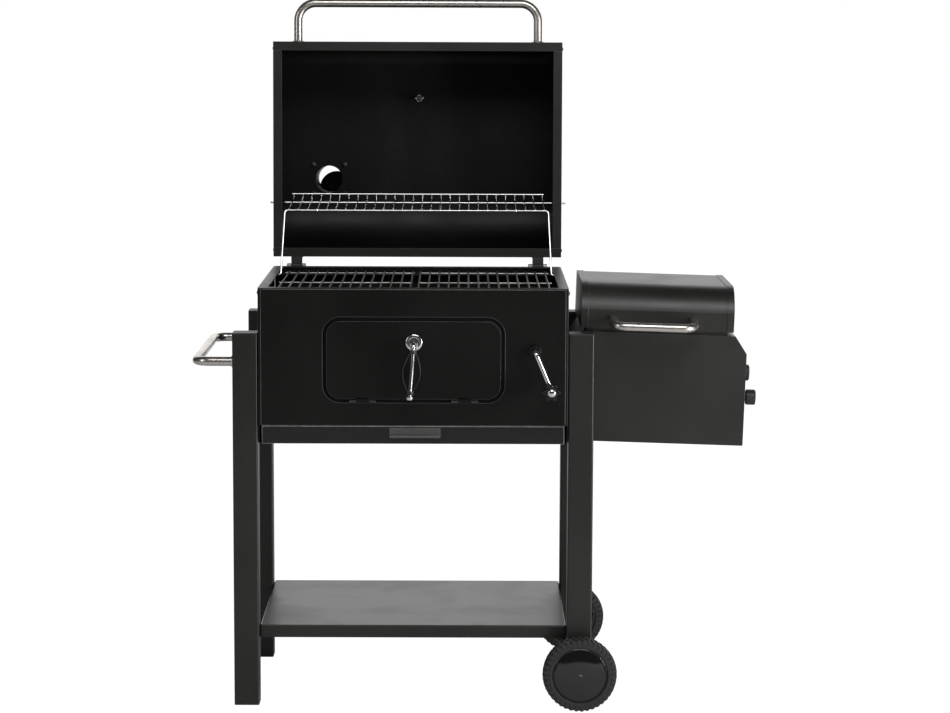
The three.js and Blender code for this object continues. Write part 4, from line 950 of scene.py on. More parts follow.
def addDoorHandle(shape):
    shaft = jointPlace("door_latch_turn")
    low, high = extent("door_handle")
    face = extent("charcoal_door")[0].y - 0.3
    lean = deg(shape["lean"])
    rodY = face - shape["reach"]
    down = Vector((-math.sin(lean), 0, -math.cos(lean)))
    start = Vector((0, rodY, 0))
    rod = tube(bmesh.new(), [(0, high.y - 1.5, 0), start, start + down * shape["length"]], shape["rod"],
               shape["bend"], 24, 8)
    plate = shape["plate"]
    lathe(rod, "y", [[0, face], [plate, face], [plate, face - 1], [plate - 1.2, face - 2.2],
                     [plate - 4.5, face - 2.6],
                     [plate - 5.5, face - 2.0], [plate - 8, face - 2.2], [8.6, face - 3.4], [8, face - 7.6],
                     [6.4, face - 9], [0, face - 9]], sides=48)
    tipShape = [[0, -4.6], [5, -4.6], [6.6, -3.9], [shape["tip"], -2.2], [shape["tip"], 2.4], [6, 3.4], [0, 3.4]]
    tip = asMesh(lathe(bmesh.new(), "z", tipShape, sides=32))
    tip.transform(Matrix.Translation(start + down * (shape["length"] - 0.3)) @ Matrix.Rotation(lean, 4, "Y"))
    rod.from_mesh(tip)
    tongue = asMesh(slab(bmesh.new(), "y", rounded(rect(-9, 9, -6, 26), 3, 4), high.y - 3, high.y), 0.5, 2)
    rod.from_mesh(tongue)
    place = Matrix.Translation((shaft.x, 0, shaft.z))
    makePiece("doorHandleRod", rod, chromeFinish, "latch", ["door_handle"], turn=place, smooth=40)
    ends = (shape["length"] - shape["cageLength"] - 10, shape["length"] - 10)
    bore = shape["rod"] + 0.6
    profile = [0, 0.3, 0.58, 0.8, 0.94, 1, 0.94, 0.8, 0.58, 0.3, 0]
    points = []
    for k, share in enumerate(profile):
        radius = bore + 1.6 + share * (shape["cage"] - bore - 2.6)
        points.append((radius, 0, -(ends[0] + 2 + k / (len(profile) - 1) * (ends[1] - ends[0] - 4))))
    wire = tube(bmesh.new(), points, shape["wire"], 12, 8, 3)
    cage = grow(itemRing, asMesh(wire), Count=shape["wires"], Start=0.5, Finish=mouldedBlack)
    bm = merge(cage)
    for end in ends:
        lathe(bm, "z", [[bore, -end - 3.5], [bore + 2.6, -end - 3.5], [bore + 3.2, -end - 2.4],
                        [bore + 3.2, -end + 2.4], [bore + 2.6, -end + 3.5], [bore, -end + 3.5]], sides=32)
    lean4 = Matrix.Rotation(lean, 4, "Y")
    makePiece("handleCageWires", bm, mouldedBlack, "latch", ["handle_cage"],
              turn=place @ Matrix.Translation((0, rodY, 0)) @ lean4, smooth=50)


crankShape = dict(rod=4.8, lean=22.9, reach=16, bend=10, depth=60, gear=17, tooth=3.5, teeth=12, lobes=6)


def addCrank(shape):
    shaft = jointPlace("crank_turn")
    grip = jointPlace("crank_grip_spin")
    _, collarHigh = extent("crank_collar")
    gripLow, gripHigh = extent("crank_grip")
    _, rodHigh = extent("crank_rod")
    y1 = collarHigh.y
    rings = [[5.4, y1], [13, y1], [13, y1 - 1.6], [12.2, y1 - 2.4], [11.6, y1 - 6.6], [10.4, y1 - 8], [5.4, y1 - 8]]
    makePiece("crankCollarRing", lathe(bmesh.new(), "y", rings, (shaft.x, 0, shaft.z), 40), knobBlack, "frame",
              ["crank_collar"], smooth=35)
    armY = y1 - 8 - shape["reach"]
    end = Vector((grip.x - shaft.x, 0, grip.z - shaft.z))
    rod = tube(bmesh.new(), [(0, rodHigh.y - 0.5, 0), (0, armY, 0), (end.x, armY, end.z),
                             (end.x, gripLow.y + 9, end.z)],
               shape["rod"], shape["bend"], 24, 8)
    teeth = []
    for i in range(4 * shape["teeth"]):
        angle = (i + 0.5) * math.pi / (2 * shape["teeth"])
        size = shape["gear"] if i % 4 < 2 else shape["gear"] - shape["tooth"]
        teeth.append((size * math.cos(angle), size * math.sin(angle)))
    gear = asMesh(slab(bmesh.new(), "y", teeth, shape["depth"] - 12, shape["depth"]), 0.4, 1)
    rod.from_mesh(gear)
    makePiece("crankRodArm", rod, chromeFinish, "crank", ["crank_rod"],
              turn=Matrix.Translation((shaft.x, 0, shaft.z)), smooth=40)
    y0, y2 = gripLow.y, gripHigh.y
    radius = (gripHigh.x - gripLow.x) / 2
    star = []
    for i in range(96):
        angle = 2 * math.pi * i / 96
        star.append(((radius - 3.3 + 3.2 * math.cos(shape["lobes"] * angle)) * math.cos(angle),
                     (radius - 3.3 + 3.2 * math.cos(shape["lobes"] * angle)) * math.sin(angle)))
    body = slab(bmesh.new(), "y", star, y0 + 8.2, y2, [circle(5.5, 24)])
    knob = asMesh(body, 1.4, 3)
    makePiece("crankStarGrip", merge(knob), knobBlack, "grip", ["crank_grip"],
              turn=Matrix.Translation((grip.x, 0, grip.z)), smooth=35)
    cap = lathe(bmesh.new(), "y", [[0, y0], [5.6, y0 + 0.6], [8, y0 + 2.6], [9, y0 + 5], [9, y0 + 8.1],
                                   [0, y0 + 8.1]],
                sides=32)
    makePiece("crankGripCap", cap, chromeFinish, "grip",
              turn=Matrix.Translation((grip.x, 0, grip.z)), smooth=35)


drawerShape = dict(sheet=1.6, fold=2.5, faceEdge=0.75, pullSheet=1.4)


def addDrawer(shape):
    low, high = extent("ash_drawer")
    pan = openTray(bmesh.new(), Vector((low.x, low.y + 1.7, low.z + 2.4)), high, shape["sheet"], shape["fold"], True)
    face = slab(bmesh.new(), "y", rounded(rect(low.x, high.x, low.z, high.z), 1.2, 3), low.y, low.y + 1.6)
    makePiece("ashDrawerPan", merge(asMesh(pan), asMesh(face, shape["faceEdge"], 2)), glossBlack, "drawer",
              ["ash_drawer"])
    tabLow, tabHigh = extent("drawer_pull")
    y1, y0 = tabHigh.y, tabLow.y
    z0, z1 = tabLow.z, tabHigh.z
    sheet = shape["pullSheet"]
    line = folded([(y1 - sheet, z1), (y1 - sheet, z0 + 3.4), (y0 + 0.2, z0 + 3.4), (y0 + 0.2, z0 + 5.4)], sheet, 1.8,
                  4)
    tab = slab(bmesh.new(), "x", line, tabLow.x, tabHigh.x)
    slab(tab, "x", rect(y1 - sheet * 0.9, y1, z0, z1), tabLow.x, tabHigh.x)
    makePiece("drawerPullTab", tab, pullSheenGrey, "drawer", ["drawer_pull"], 0.3, 2)


def addTray():
    low, high = extent("charcoal_tray")
    bm = openTray(bmesh.new(), low, high, 1.6, 4, True)
    rib = asMesh(slab(bmesh.new(), "x", rounded(rect(low.y + 20, high.y - 20, low.z + 1.4, low.z + 4), 1, 2), -5, 5))
    rib.transform(Matrix.Translation((low.x + 60, 0, 0)))
    ribs = grow(itemRow, rib, Count=7, Pitch=(high.x - low.x - 120) / 6, Finish=innerBlack)
    makePiece("charcoalTrayPan", merge(asMesh(bm), ribs), innerBlack, "tray", ["charcoal_tray"])


def repeatWire(points, count, pitch, thickness, coat, firstX, sides=10):
    mesh = grow(wireRow, lineMesh(points), Count=count, Pitch=pitch, Thickness=thickness, Sides=sides, Finish=coat)
    mesh.transform(Matrix.Translation((firstX, 0, 0)))
    return mesh


grateShape = dict(pitch=20.5, wire=3.4, rod=4.0, seam=16, rodInset=5)


def addGrates(shape):
    for name, sign in (("left", -1), ("right", 1)):
        low, high = extent(f"cooking_grate_{name}")
        count = round((high.x - low.x - 10) / shape["pitch"]) + 1
        first = shape["seam"] / 2 if sign > 0 else -shape["seam"] / 2 - (count - 1) * shape["pitch"]
        z = high.z - shape["wire"] / 2
        bm = merge(repeatWire([(0, low.y + 1, z), (0, high.y - 1, z)], count, shape["pitch"], shape["wire"],
                              platedWire, first))
        rodZ = high.z - shape["wire"] - shape["rod"] / 2 + 0.6
        for y in (low.y + shape["rodInset"], (low.y + high.y) / 2, high.y - shape["rodInset"]):
            tube(bm, [(low.x + 0.4, y, rodZ), (high.x - 0.4, y, rodZ)], shape["rod"] / 2, sides=14)
        makePiece(f"{name}GrateWires", bm, platedWire, f"grate_{name}", [f"cooking_grate_{name}"],
                  smooth=50)


# the star grip's and collar's rounded edges take a painted highlight for their glints
knobBlack = paintedSteel("knobBlack", {**satinLook, "dark": (0.004, 0.004, 0.004), "light": (0.007, 0.007, 0.007),
                                       "rough": 0.2, "coat": 0.4, "edge": (0.16, 0.16, 0.155), "edgeShine": 1.0})
# a dark grey for the drawer pull, which is glossy black: the grey is a painted reflection, and its edges take a
# painted highlight
pullSheenGrey = paintedSteel("pullSheenGrey", {**satinLook, "dark": (0.055, 0.055, 0.053), "light": (0.08, 0.08, 0.077),
                                     "rough": 0.22, "coat": 0.3, "edge": (0.2, 0.2, 0.19)})
addChamber(chamberShape)
addFrontPanel(chamberShape)
addDoor(doorShape)
addDoorHandle(handleShape)
addCrank(crankShape)
addDrawer(drawerShape)
addTray()
addGrates(grateShape)
print("chamber built")

# lid: drawn shut about its hinge axis, and turned open by the angle that the joint gives
lidJoint = next(j for j in frame["joints"] if j["name"] == "lid_hinge")
openAngle = -lidJoint["range_deg"][0]
lidAxis = jointPlace("lid_hinge")
lidAxis.x = 0
lidTurn = Matrix.Translation(lidAxis) @ Matrix.Rotation(deg(-openAngle), 4, "X")
lidShape = dict(half=311.5, front=-482, back=-19, floor=0.8, height=228.5, sheet=2.0, frontBend=45, rearBend=110,
                rimWidth=19, rimSheet=2.0, mitreGap=0.35, sideFlange=9)
lidTop = lidShape["floor"] + lidShape["height"]


def lidLine(inset, foot):
    s = lidShape
    corners = [(s["back"] - inset, foot), (s["back"] - inset, lidTop - inset), (s["front"] + inset, lidTop - inset),
               (s["front"] + inset, foot)]
    return rounded(corners, [0, s["rearBend"] - inset, s["frontBend"] - inset, 0], 24)


# the inward faces take the darker inside black: painted shade inside the lid
def shadeInside(piece, centre):
    piece.data.materials.append(insideShadeDustBlack)
    for face in piece.data.polygons:
        if face.normal.dot(centre - face.center) > 0.02:
            face.material_index = 1


def addLid(s):
    foot = s["floor"] + s["rimSheet"] + 0.3
    outer = lidLine(0, foot)
    inner = lidLine(s["sheet"], foot)
    skin = slab(bmesh.new(), "x", outer + inner[::-1], -s["half"] + s["sheet"] + 0.3, s["half"] - s["sheet"] - 0.3)
    flue, dial = flueShape, dialShape
    cutters = [lathe(bmesh.new(), "z", plugLine(flue["bore"], lidTop - 9, lidTop + 5), (flue["x"], flue["y"], 0), 48),
               lathe(bmesh.new(), "z", plugLine(dial["stem"] + 1, lidTop - 9, lidTop + 5), (0, dial["y"], 0), 24)]
    middle = toRow @ lidTurn @ Vector((0, (s["front"] + s["back"]) / 2, s["height"] * 0.45))
    cover = makePiece("lidCoverSheet", carve(asMesh(skin), *cutters), satinBlack, "lid", ["lid_cover"],
                      turn=lidTurn, smooth=30)
    shadeInside(cover, middle)
    rack = jointPlace("rack_pivot")
    pin = lidTurn.inverted() @ Vector((0, rack.y, rack.z))
    for name, sign in (("left", -1), ("right", 1)):
        xs = sorted((sign * s["half"], sign * (s["half"] - s["sheet"])))
        plate = slab(bmesh.new(), "x", outer, *xs, [circle(2.9, 16, (pin.y, pin.z))])
        flange = slab(bmesh.new(), "x", lidLine(s["sheet"] + 0.1, foot) + lidLine(s["sheet"] + 1.3, foot)[::-1],
                      *sorted((sign * (s["half"] - s["sheet"] - 0.1),
                               sign * (s["half"] - s["sheet"] - s["sideFlange"]))))
        wall = makePiece(f"{name}LidSide", merge(asMesh(plate, 0.8, 2), asMesh(flange)), satinBlack, "lid",
                         [f"lid_side_{name}"], turn=lidTurn, smooth=30)
        shadeInside(wall, middle)
    width, gap, x, y0, y1 = s["rimWidth"], s["mitreGap"], s["half"], s["front"], s["back"]
    level = (s["floor"], s["floor"] + s["rimSheet"])
    rim = slab(bmesh.new(), "z", rounded(rect(-x, x, y0, y0 + width), 1.2, 3), *level)
    slab(rim, "z", rounded(rect(-x, x, y1 - width, y1), 1.2, 3), *level)
    for sign in (-1, 1):
        xs = sorted((sign * x, sign * (x - width)))
        slab(rim, "z", rect(*xs, y0 + width + gap, y1 - width - gap), *level)
    makePiece("lidRimFlange", rim, satinBlack, "lid", ["lid_rim"], 0.6, 2, turn=lidTurn)
    spots = [((sign * s["half"], y, z), (sign, 0, 0)) for sign in (-1, 1) for y, z in
             ((s["front"] + 14, 24), (s["front"] + 14, lidTop - 60), (s["back"] - 14, 24), (-250, lidTop - 12))]
    addScrews("lidScrews", spots, "lid", mouldedBlack, 8.5, 2.6, lidTurn)


lidHandleShape = dict(tube=9.25, inset=52, rise=84, bend=38, aboveRim=45, washer=13, washerThick=3)


def addLidHandle(s):
    x = lidShape["half"] - s["inset"]
    z = lidShape["floor"] + s["aboveRim"]
    start = lidShape["front"] - 0.3
    reach = start - s["rise"]
    bm = tube(bmesh.new(), [(-x, start, z), (-x, reach, z), (x, reach, z), (x, start, z)], s["tube"], s["bend"], 32,
              14)
    for place in (-x, x):
        lathe(bm, "y", [[s["tube"] - 1, start], [s["washer"] - 0.8, start], [s["washer"], start - 0.8],
                        [s["washer"] - 0.4, start - 2], [s["tube"] + 1.4, start - s["washerThick"]],
                        [s["tube"] - 1, start - s["washerThick"]]], (place, 0, z), 40)
    makePiece("lidHandleBar", bm, brushedSteel, "lid", ["lid_handle"], turn=lidTurn, smooth=50)


dialShape = dict(y=-364, radius=35, thick=16, stem=4, stemLength=40, nut=11, ticks=20)


def addThermometer(s):
    low = lidTop + 0.3
    high = low + s["thick"]
    r = s["radius"]
    place = Matrix.Translation((0, s["y"], 0))
    case = lathe(bmesh.new(), "z", [[0, low], [r - 4, low], [r - 1, low + 1.5], [r, low + 4], [r, high - 3],
                                    [r - 1, high - 1], [r - 3, high], [r - 4.5, high - 0.8], [r - 5, high - 3.4],
                                    [0, high - 3.4]], sides=64)
    lathe(case, "z", [[0, lidTop - s["stemLength"] + 0.3], [s["stem"] - 1, lidTop - s["stemLength"] + 0.3],
                      [s["stem"], lidTop - s["stemLength"] + 2], [s["stem"], low + 0.5], [0, low + 0.5]], sides=24)
    nutTop = lidTop - lidShape["sheet"] - 0.3
    nut = asMesh(slab(bmesh.new(), "z", circle(s["nut"] - 2.4, 6), nutTop - 5.4, nutTop), 0.6, 2)
    case.from_mesh(nut)
    for sign in (-1, 1):
        wing = slab(bmesh.new(), "y", rounded([(sign * 4, nutTop - 1), (sign * 4, nutTop - 5), (sign * 9, nutTop - 6),
                                               (sign * 10.8, nutTop - 4), (sign * 10, nutTop - 1)], 1, 3), -1, 1)
        case.from_mesh(asMesh(wing, 0.5, 2))
    makePiece("dialCase", case, chromeFinish, "lid", ["thermometer"], turn=lidTurn @ place, smooth=35)
    face = lathe(bmesh.new(), "z", plugLine(r - 5.4, high - 3.3, high - 3.0),
                 sides=64)
    makePiece("dialFace", face, dialWhite, "lid", turn=lidTurn @ place, smooth=35)
    tick = slab(bmesh.new(), "z", rect(r - 11, r - 7, -0.5, 0.5), high - 2.95, high - 2.75)
    ticks = grow(itemRing, asMesh(tick), Count=s["ticks"], Finish=mouldedBlack)
    needle = slab(bmesh.new(), "z", [(-6, -1.1), (20, -0.35), (20, 0.35), (-6, 1.1)], high - 2.5, high - 2.0)
    lathe(needle, "z", plugLine(2.6, high - 2.9, high - 1.6), sides=24)
    turned = asMesh(needle)
    turned.transform(Matrix.Rotation(deg(215), 4, "Z"))
    makePiece("dialMarks", merge(ticks, turned), mouldedBlack, "lid", turn=lidTurn @ place, smooth=35)


flueShape = dict(x=-202, y=-183, bore=30, wall=2, length=150, plate=(84, 80), cap=39, capThick=2, swing=40)


def addFlue(s):
    outer = s["bore"] + s["wall"]
    low = lidTop + 0.3
    top = low + s["length"]
    corner = math.sqrt(0.5) * (outer + 5)
    place = Matrix.Translation((s["x"], s["y"], 0))
    halfX, halfY = s["plate"][0] / 2, s["plate"][1] / 2
    plate = asMesh(slab(bmesh.new(), "z", rounded(rect(-halfX, halfX, -halfY, halfY), 8, 6), low, low + 2,
                        [circle(s["bore"] + 0.4, 48)]), 0.5, 2)
    pipe = lathe(bmesh.new(), "z", [[s["bore"], low], [outer + 3, low + 1.9], [outer + 1, low + 2.6],
                                    [outer, low + 4.4],
                                    [outer, top - 0.5], [outer - 0.5, top], [s["bore"] + 0.5, top],
                                    [s["bore"], top - 0.5]], sides=64)
    ear = slab(bmesh.new(), "z", rounded([(-corner - 6, corner - 4), (-corner + 2, corner - 10),
                                          (-corner + 10, corner - 2),
                                          (-corner + 4, corner + 6), (-corner - 4, corner + 6)], 3, 4), top - 12, top)
    screw = lathe(bmesh.new(), "z", [[0, top - 1], [2.4, top - 1], [2.4, top + 3.2], [4.2, top + 3.4], [4.2, top + 5],
                                     [2.6, top + 6], [0, top + 6]], (-corner, corner, 0), 24)
    makePiece("fluePipe", merge(plate, asMesh(pipe), asMesh(ear, 0.6, 2), asMesh(screw)), satinBlack, "lid",
              ["chimney"], turn=lidTurn @ place, smooth=35)
    spots = [((a * 35, b * 33, low + 2), (0, 0, 1)) for a in (-1, 1) for b in (-1, 1)]
    addScrews("fluePlateScrews", spots, "lid", zincSteel, 8, 2.4, lidTurn @ place)
    nuts = [((a * 35, b * 33, lidTop - lidShape["sheet"]), (0, 0, -1)) for a in (-1, 1) for b in (-1, 1)]
    addScrews("flueInnerNuts", nuts, "lid", mouldedBlack, 13, 5.0, lidTurn @ place)
    swing = place @ Matrix.Translation((-corner, corner, top + 0.3)) @ Matrix.Rotation(deg(s["swing"]), 4, "Z")
    thick = s["capThick"]
    disc = slab(bmesh.new(), "z", circle(s["cap"], 64, (corner, -corner)), 0, thick)
    lug = slab(bmesh.new(), "z", circle(7, 24), 0.01, thick - 0.01, [circle(3.1, 16)])
    makePiece("flueCapDisc", merge(asMesh(disc, 0.6, 2), asMesh(lug, 0.4, 1)), satinBlack, "flue_cap",
              ["chimney_cap"], turn=lidTurn @ swing, smooth=35)


hingeShape = dict(radius=4.6, strap=12, outer=20, leaf=46, strapHeight=40, pin=2.6)


def hingeLeaf(x, y, z, wall, outer, inner, radius, leaf, pin):
    bm = slab(bmesh.new(), "y", rounded([(x - outer, z - leaf), (x + outer, z - leaf), (x + outer, z), (x + inner, z),
                                         (x + inner, z - radius - 1), (x - inner, z - radius - 1), (x - inner, z),
                                         (x - outer, z)], [3, 3, 0, 0, 1, 1, 0, 0], 4), wall + 0.3, wall + 2.3)
    for a, b in ((x - outer, x - inner), (x + inner, x + outer)):
        lathe(bm, "x", rodLine(radius, a, b),
              (0, y, z), 24)
    lathe(bm, "x", [[0, x - outer - 1.4], [pin + 1, x - outer - 1.4], [pin + 1.4, x - outer - 0.6],
                    [pin + 1.4, x - outer + 0.2], [0, x - outer + 0.2]], (0, y, z), 20)
    return bm


def addLidHinges(s):
    for name in ("left", "right"):
        low, high = extent(f"lid_strap_{name}")
        x = (low.x + high.x) / 2
        half = s["strap"]
        y0, z0 = lidShape["back"] + 0.3, lidShape["floor"] + 0.4
        line = [(y0, z0 + s["strapHeight"]), (y0, z0), (-2, z0)]
        strap = slab(bmesh.new(), "x", folded([(a, b) for a, b in line], 2.4, 2, 4), x - half, x + half)
        lathe(strap, "x", rodLine(s["radius"], x - half, x + half), sides=24)
        makePiece(f"{name}LidStrap", strap, mouldedBlack, "lid", [f"lid_strap_{name}"], turn=lidTurn,
                  smooth=32)
        wall = extent("chamber_back")[1].y
        leaf = hingeLeaf(x, lidAxis.y, lidAxis.z, wall, s["outer"], s["strap"] + 0.3, s["radius"], s["leaf"],
                         s["pin"])
        makePiece(f"{name}LidHinge", leaf, zincSteel, "frame", [f"lid_hinge_{name}"], smooth=32)
        spots = [((x + dx, wall + 2.3, lidAxis.z - dz), (0, 1, 0)) for dx in (-13, 13) for dz in (16, 36)]
        addScrews(f"{name}HingeScrews", spots, "frame", zincSteel, 8, 2.6)
        lidSpots = [((x + dx, y0 + 2.4, z0 + dz), (0, 1, 0)) for dx in (-6, 6) for dz in (18, 32)]
        addScrews(f"{name}StrapScrews", lidSpots, "lid", zincSteel, 7, 2.2, lidTurn)


rackShape = dict(front=143.2, rear=28, lift=15.5, tilt=2.8, pitch=20.15, wire=2.6, rod=4.4, count=28)
rackLegShape = dict(wire=4.0, topInset=30, footInset=24, bend=6)


def addRack(s, wireLeg):
    pivot = jointPlace("rack_pivot")
    turn = Matrix.Translation((0, pivot.y, pivot.z)) @ Matrix.Rotation(deg(s["tilt"]), 4, "X")
    rod, count = s["rod"] / 2, s["count"]
    z = rod - 0.6 + s["wire"] / 2
    rear = s["rear"]
    path = [Vector((0, *p)) for p in ((-s["front"] + 3, z), (rear, z), (rear, s["lift"] + 1.2))]
    first = -(count - 1) / 2 * s["pitch"]
    bm = merge(repeatWire(rounded(path, 2.6, 5, closed=False), count, s["pitch"], s["wire"], chromeFinish, first, 12))
    end = -first + 3
    half = lidShape["half"] + 9.5
    for length, y, height in ((half, 0, 0), (end, -s["front"] + 4.7, 0), (end, rear - 1.8, s["lift"])):
        lathe(bm, "x", rodLine(rod, -length, length, 0.6), (0, y, height), 18)
    bar = wireLeg["wire"] / 2
    hook = [(-s["front"] + 6, bar + 2), (-s["front"] - bar - 2.2, bar + 2), (-s["front"] - bar - 2.2, -bar)]
    for i in (3, count - 4):
        x = first + i * s["pitch"]
        tube(bm, rounded([(x, *p) for p in hook], 2.0, 4, closed=False), 1.1, 0, 10)
    makePiece("warmingRackWires", bm, chromeFinish, "rack", ["warming_rack"], turn=turn, smooth=50)
    foot = jointPlace("rack_leg_pivot")
    right = extent("chamber_rim")[1].x
    topX, footX = right - wireLeg["topInset"], right - wireLeg["footInset"]
    frontBar = turn @ Vector((0, -s["front"], 0))
    corners = [(-right - 3, foot.y, foot.z), (-footX, foot.y, foot.z), (-topX, frontBar.y, frontBar.z),
               (topX, frontBar.y, frontBar.z), (footX, foot.y, foot.z), (right + 3, foot.y, foot.z)]
    leg = tube(bmesh.new(), corners, bar, wireLeg["bend"], 20, 8)
    makePiece("rackLegWire", leg, chromeFinish, "rack_link", ["rack_leg"], smooth=50)


dialWhite = paintedSteel("dialWhite", {**satinLook, "dark": (0.62, 0.61, 0.58), "light": (0.7, 0.69, 0.66),
                                       "rough": 0.3, "edge": (0.8, 0.8, 0.8), "dusting": 0.02})
addLid(lidShape)
addLidHandle(lidHandleShape)
addThermometer(dialShape)
addFlue(flueShape)
addLidHinges(hingeShape)
addRack(rackShape, rackLegShape)
print("lid and rack built")

# firebox: drawn level about its lower inner front corner, and hung a little low at its outer end
fireLidJoint = next(j for j in frame["joints"] if j["name"] == "firebox_lid_hinge")
sag = math.atan2(fireLidJoint["axis"][2], -fireLidJoint["axis"][0])
boxShape = dict(width=353.7, height=222.4, depth=300, chamferX=24, chamferZ=35.6, sheet=2.0, mouthLip=16, seatLow=11,
                seatInset=8, seat=2, lidInset=17.4, lidWidth=308.3, lidGap=7.2, band=38.4, curve=51, lean=13, rear=9,
                hingeBehind=6, hingeAbove=5, flange=14, handleX=144.6, handleSpacing=161, tube=9, reach=55, drop=8,
                bend=24)
boxOrigin = jointPlace("firebox_lid_hinge")
hingeUp = Matrix.Rotation(sag, 4, "Y") @ Vector((0, boxShape["depth"] + boxShape["hingeBehind"],
                                                 boxShape["height"] + boxShape["hingeAbove"]))
boxOrigin = boxOrigin - hingeUp
boxTurn = Matrix.Translation(boxOrigin) @ Matrix.Rotation(sag, 4, "Y")
fireLidTurn = boxTurn @ Matrix.Translation((0, boxShape["depth"] + boxShape["hingeBehind"],
                                            boxShape["height"] + boxShape["hingeAbove"]))


def boxLine(inset, bend=2.5):
    s = boxShape
    w, h = s["width"] - inset, s["height"] - inset
    corners = [(inset, inset), (w, inset), (w, s["height"] - s["chamferZ"]), (s["width"] - s["chamferX"], h),
               (s["chamferX"], h), (inset, s["height"] - s["chamferZ"])]
    return rounded(corners, bend, 5)


def addFirebox(s):
    depth, sheet = s["depth"], s["sheet"]
    skin = asMesh(slab(bmesh.new(), "y", boxLine(0.7), sheet + 0.1, depth - sheet - 0.1, [boxLine(0.7 + sheet, 1.5)]))
    x0, x1 = s["chamferX"] + s["mouthLip"], s["width"] - s["chamferX"] - s["mouthLip"]
    mouth = slab(bmesh.new(), "z", rounded(rect(x0, x1, s["mouthLip"], depth - s["mouthLip"]), 5, 4),
                 s["height"] - 6, s["height"] + 2)
    sleeveLow, sleeveHigh = extent("smoke_sleeve")
    smoke = block(bmesh.new(), -2, sheet + 2, sleeveLow.y - boxOrigin.y - 2.2, sleeveHigh.y - boxOrigin.y + 2.2,
                  sleeveLow.z - boxOrigin.z - 2.2, sleeveHigh.z - boxOrigin.z + 2.2)
    damper = damperShape
    vents = []
    for k in range(3):
        angle = 2 * math.pi * k / 3
        centre = (depth / 2 + damper["orbit"] * math.cos(angle), damper["z"] + damper["orbit"] * math.sin(angle))
        vents.append(slab(bmesh.new(), "x", circle(damper["hole"], 32, centre), s["width"] - sheet - 4,
                          s["width"] + 2))
    skin = carve(skin, mouth, smoke, *vents)
    parts = [skin]
    for y0, y1 in ((0, sheet), (depth - sheet, depth)):
        parts.append(asMesh(slab(bmesh.new(), "y", boxLine(0), y0, y1), 0.6, 2))
    seat0 = rect(s["lidInset"] + s["seatInset"], s["lidInset"] + s["lidWidth"] - s["seatInset"], s["seatInset"],
                 depth - s["seatInset"])
    inner = rect(seat0[0][0] + s["seat"], seat0[1][0] - s["seat"], seat0[0][1] + s["seat"], seat0[2][1] - s["seat"])
    seat = slab(bmesh.new(), "z", rounded(seat0, 4, 5), s["height"] - 1.4, s["height"] + s["seatLow"],
                [rounded(inner, 3, 5)])
    parts.append(asMesh(seat, 0.5, 2))
    makePiece("fireboxShell", merge(*parts), satinBlack, "frame", ["firebox_shell"], turn=boxTurn,
              smooth=30)
    spots = [((x, depth, z), (0, 1, 0)) for x in (12, s["width"] - 12) for z in (16, 110, 176)]
    spots += [((x, y, 0.7), (0, 0, -1)) for x in (14, s["width"] - 14) for y in (20, depth - 20)]
    addScrews("fireboxScrews", spots, "frame", mouldedBlack, 8.5, 2.6, boxTurn)
    sleeveY, sleeveZ = (sleeveLow.y, sleeveHigh.y), (sleeveLow.z, sleeveHigh.z)
    outline = rounded(rect(*sleeveY, *sleeveZ), 3, 4)
    hole = rounded(rect(sleeveY[0] + 2, sleeveY[1] - 2, sleeveZ[0] + 2, sleeveZ[1] - 2), 2, 4)
    sleeve = slab(bmesh.new(), "x", outline, sleeveLow.x, sleeveHigh.x, [hole])
    makePiece("smokeSleeveDuct", sleeve, innerBlack, "frame", ["smoke_sleeve"], 0.4, 1)


fireGrateShape = dict(margin=12, height=62, thick=3, bar=7, pitch=20)


def addFireGrate(s):
    x0, x1 = s["margin"], boxShape["width"] - s["margin"]
    y0, y1 = s["margin"], boxShape["depth"] - s["margin"]
    level = (s["height"], s["height"] + s["thick"])
    ring = slab(bmesh.new(), "z", rounded(rect(x0, x1, y0, y1), 4, 4), *level,
                [rounded(rect(x0 + s["bar"], x1 - s["bar"], y0 + 10, y1 - 10), 2, 4)])
    bar = slab(bmesh.new(), "z", rect(x0 + s["pitch"], x0 + s["pitch"] + s["bar"], y0 + 9.8, y1 - 9.8),
               level[0] + 0.1, level[1] - 0.1)
    count = int((x1 - x0 - s["bar"]) / s["pitch"]) - 1
    bars = grow(itemRow, asMesh(bar, 0.6, 2), Count=count, Pitch=s["pitch"], Finish=zincSteel)
    makePiece("fireGrateBars", merge(asMesh(ring, 0.5, 2), bars), zincSteel, "frame", ["fire_grate"],
              turn=boxTurn, smooth=35)


def fireLidLine(inset, foot):
    # the front band stands upright to a crease, and the curved sheet leans back from it
    s = boxShape
    front, wall = -s["hingeBehind"] - s["depth"] + inset, -s["hingeBehind"] - inset
    low = s["lidGap"] - s["hingeAbove"]
    crease, top = low + s["band"], low + s["band"] + s["curve"] - inset
    lean = deg(s["lean"])
    reach = (top - crease) / (1 - math.sin(lean))
    centre = (front + reach * math.cos(lean), top - reach)
    arc = []
    for k in range(25):
        angle = lean + (math.pi / 2 - lean) * k / 24
        arc.append(Vector((centre[0] - reach * math.cos(angle), centre[1] + reach * math.sin(angle))))
    rear = rounded([arc[-1], (wall, top), (wall, foot)], s["rear"] - min(inset, 4), 8, closed=False)
    return [Vector((front, foot))] + arc + rear[1:]


fireHingeShape = dict(radius=4.2, strap=55, outer=75, leaf=40, pin=2)


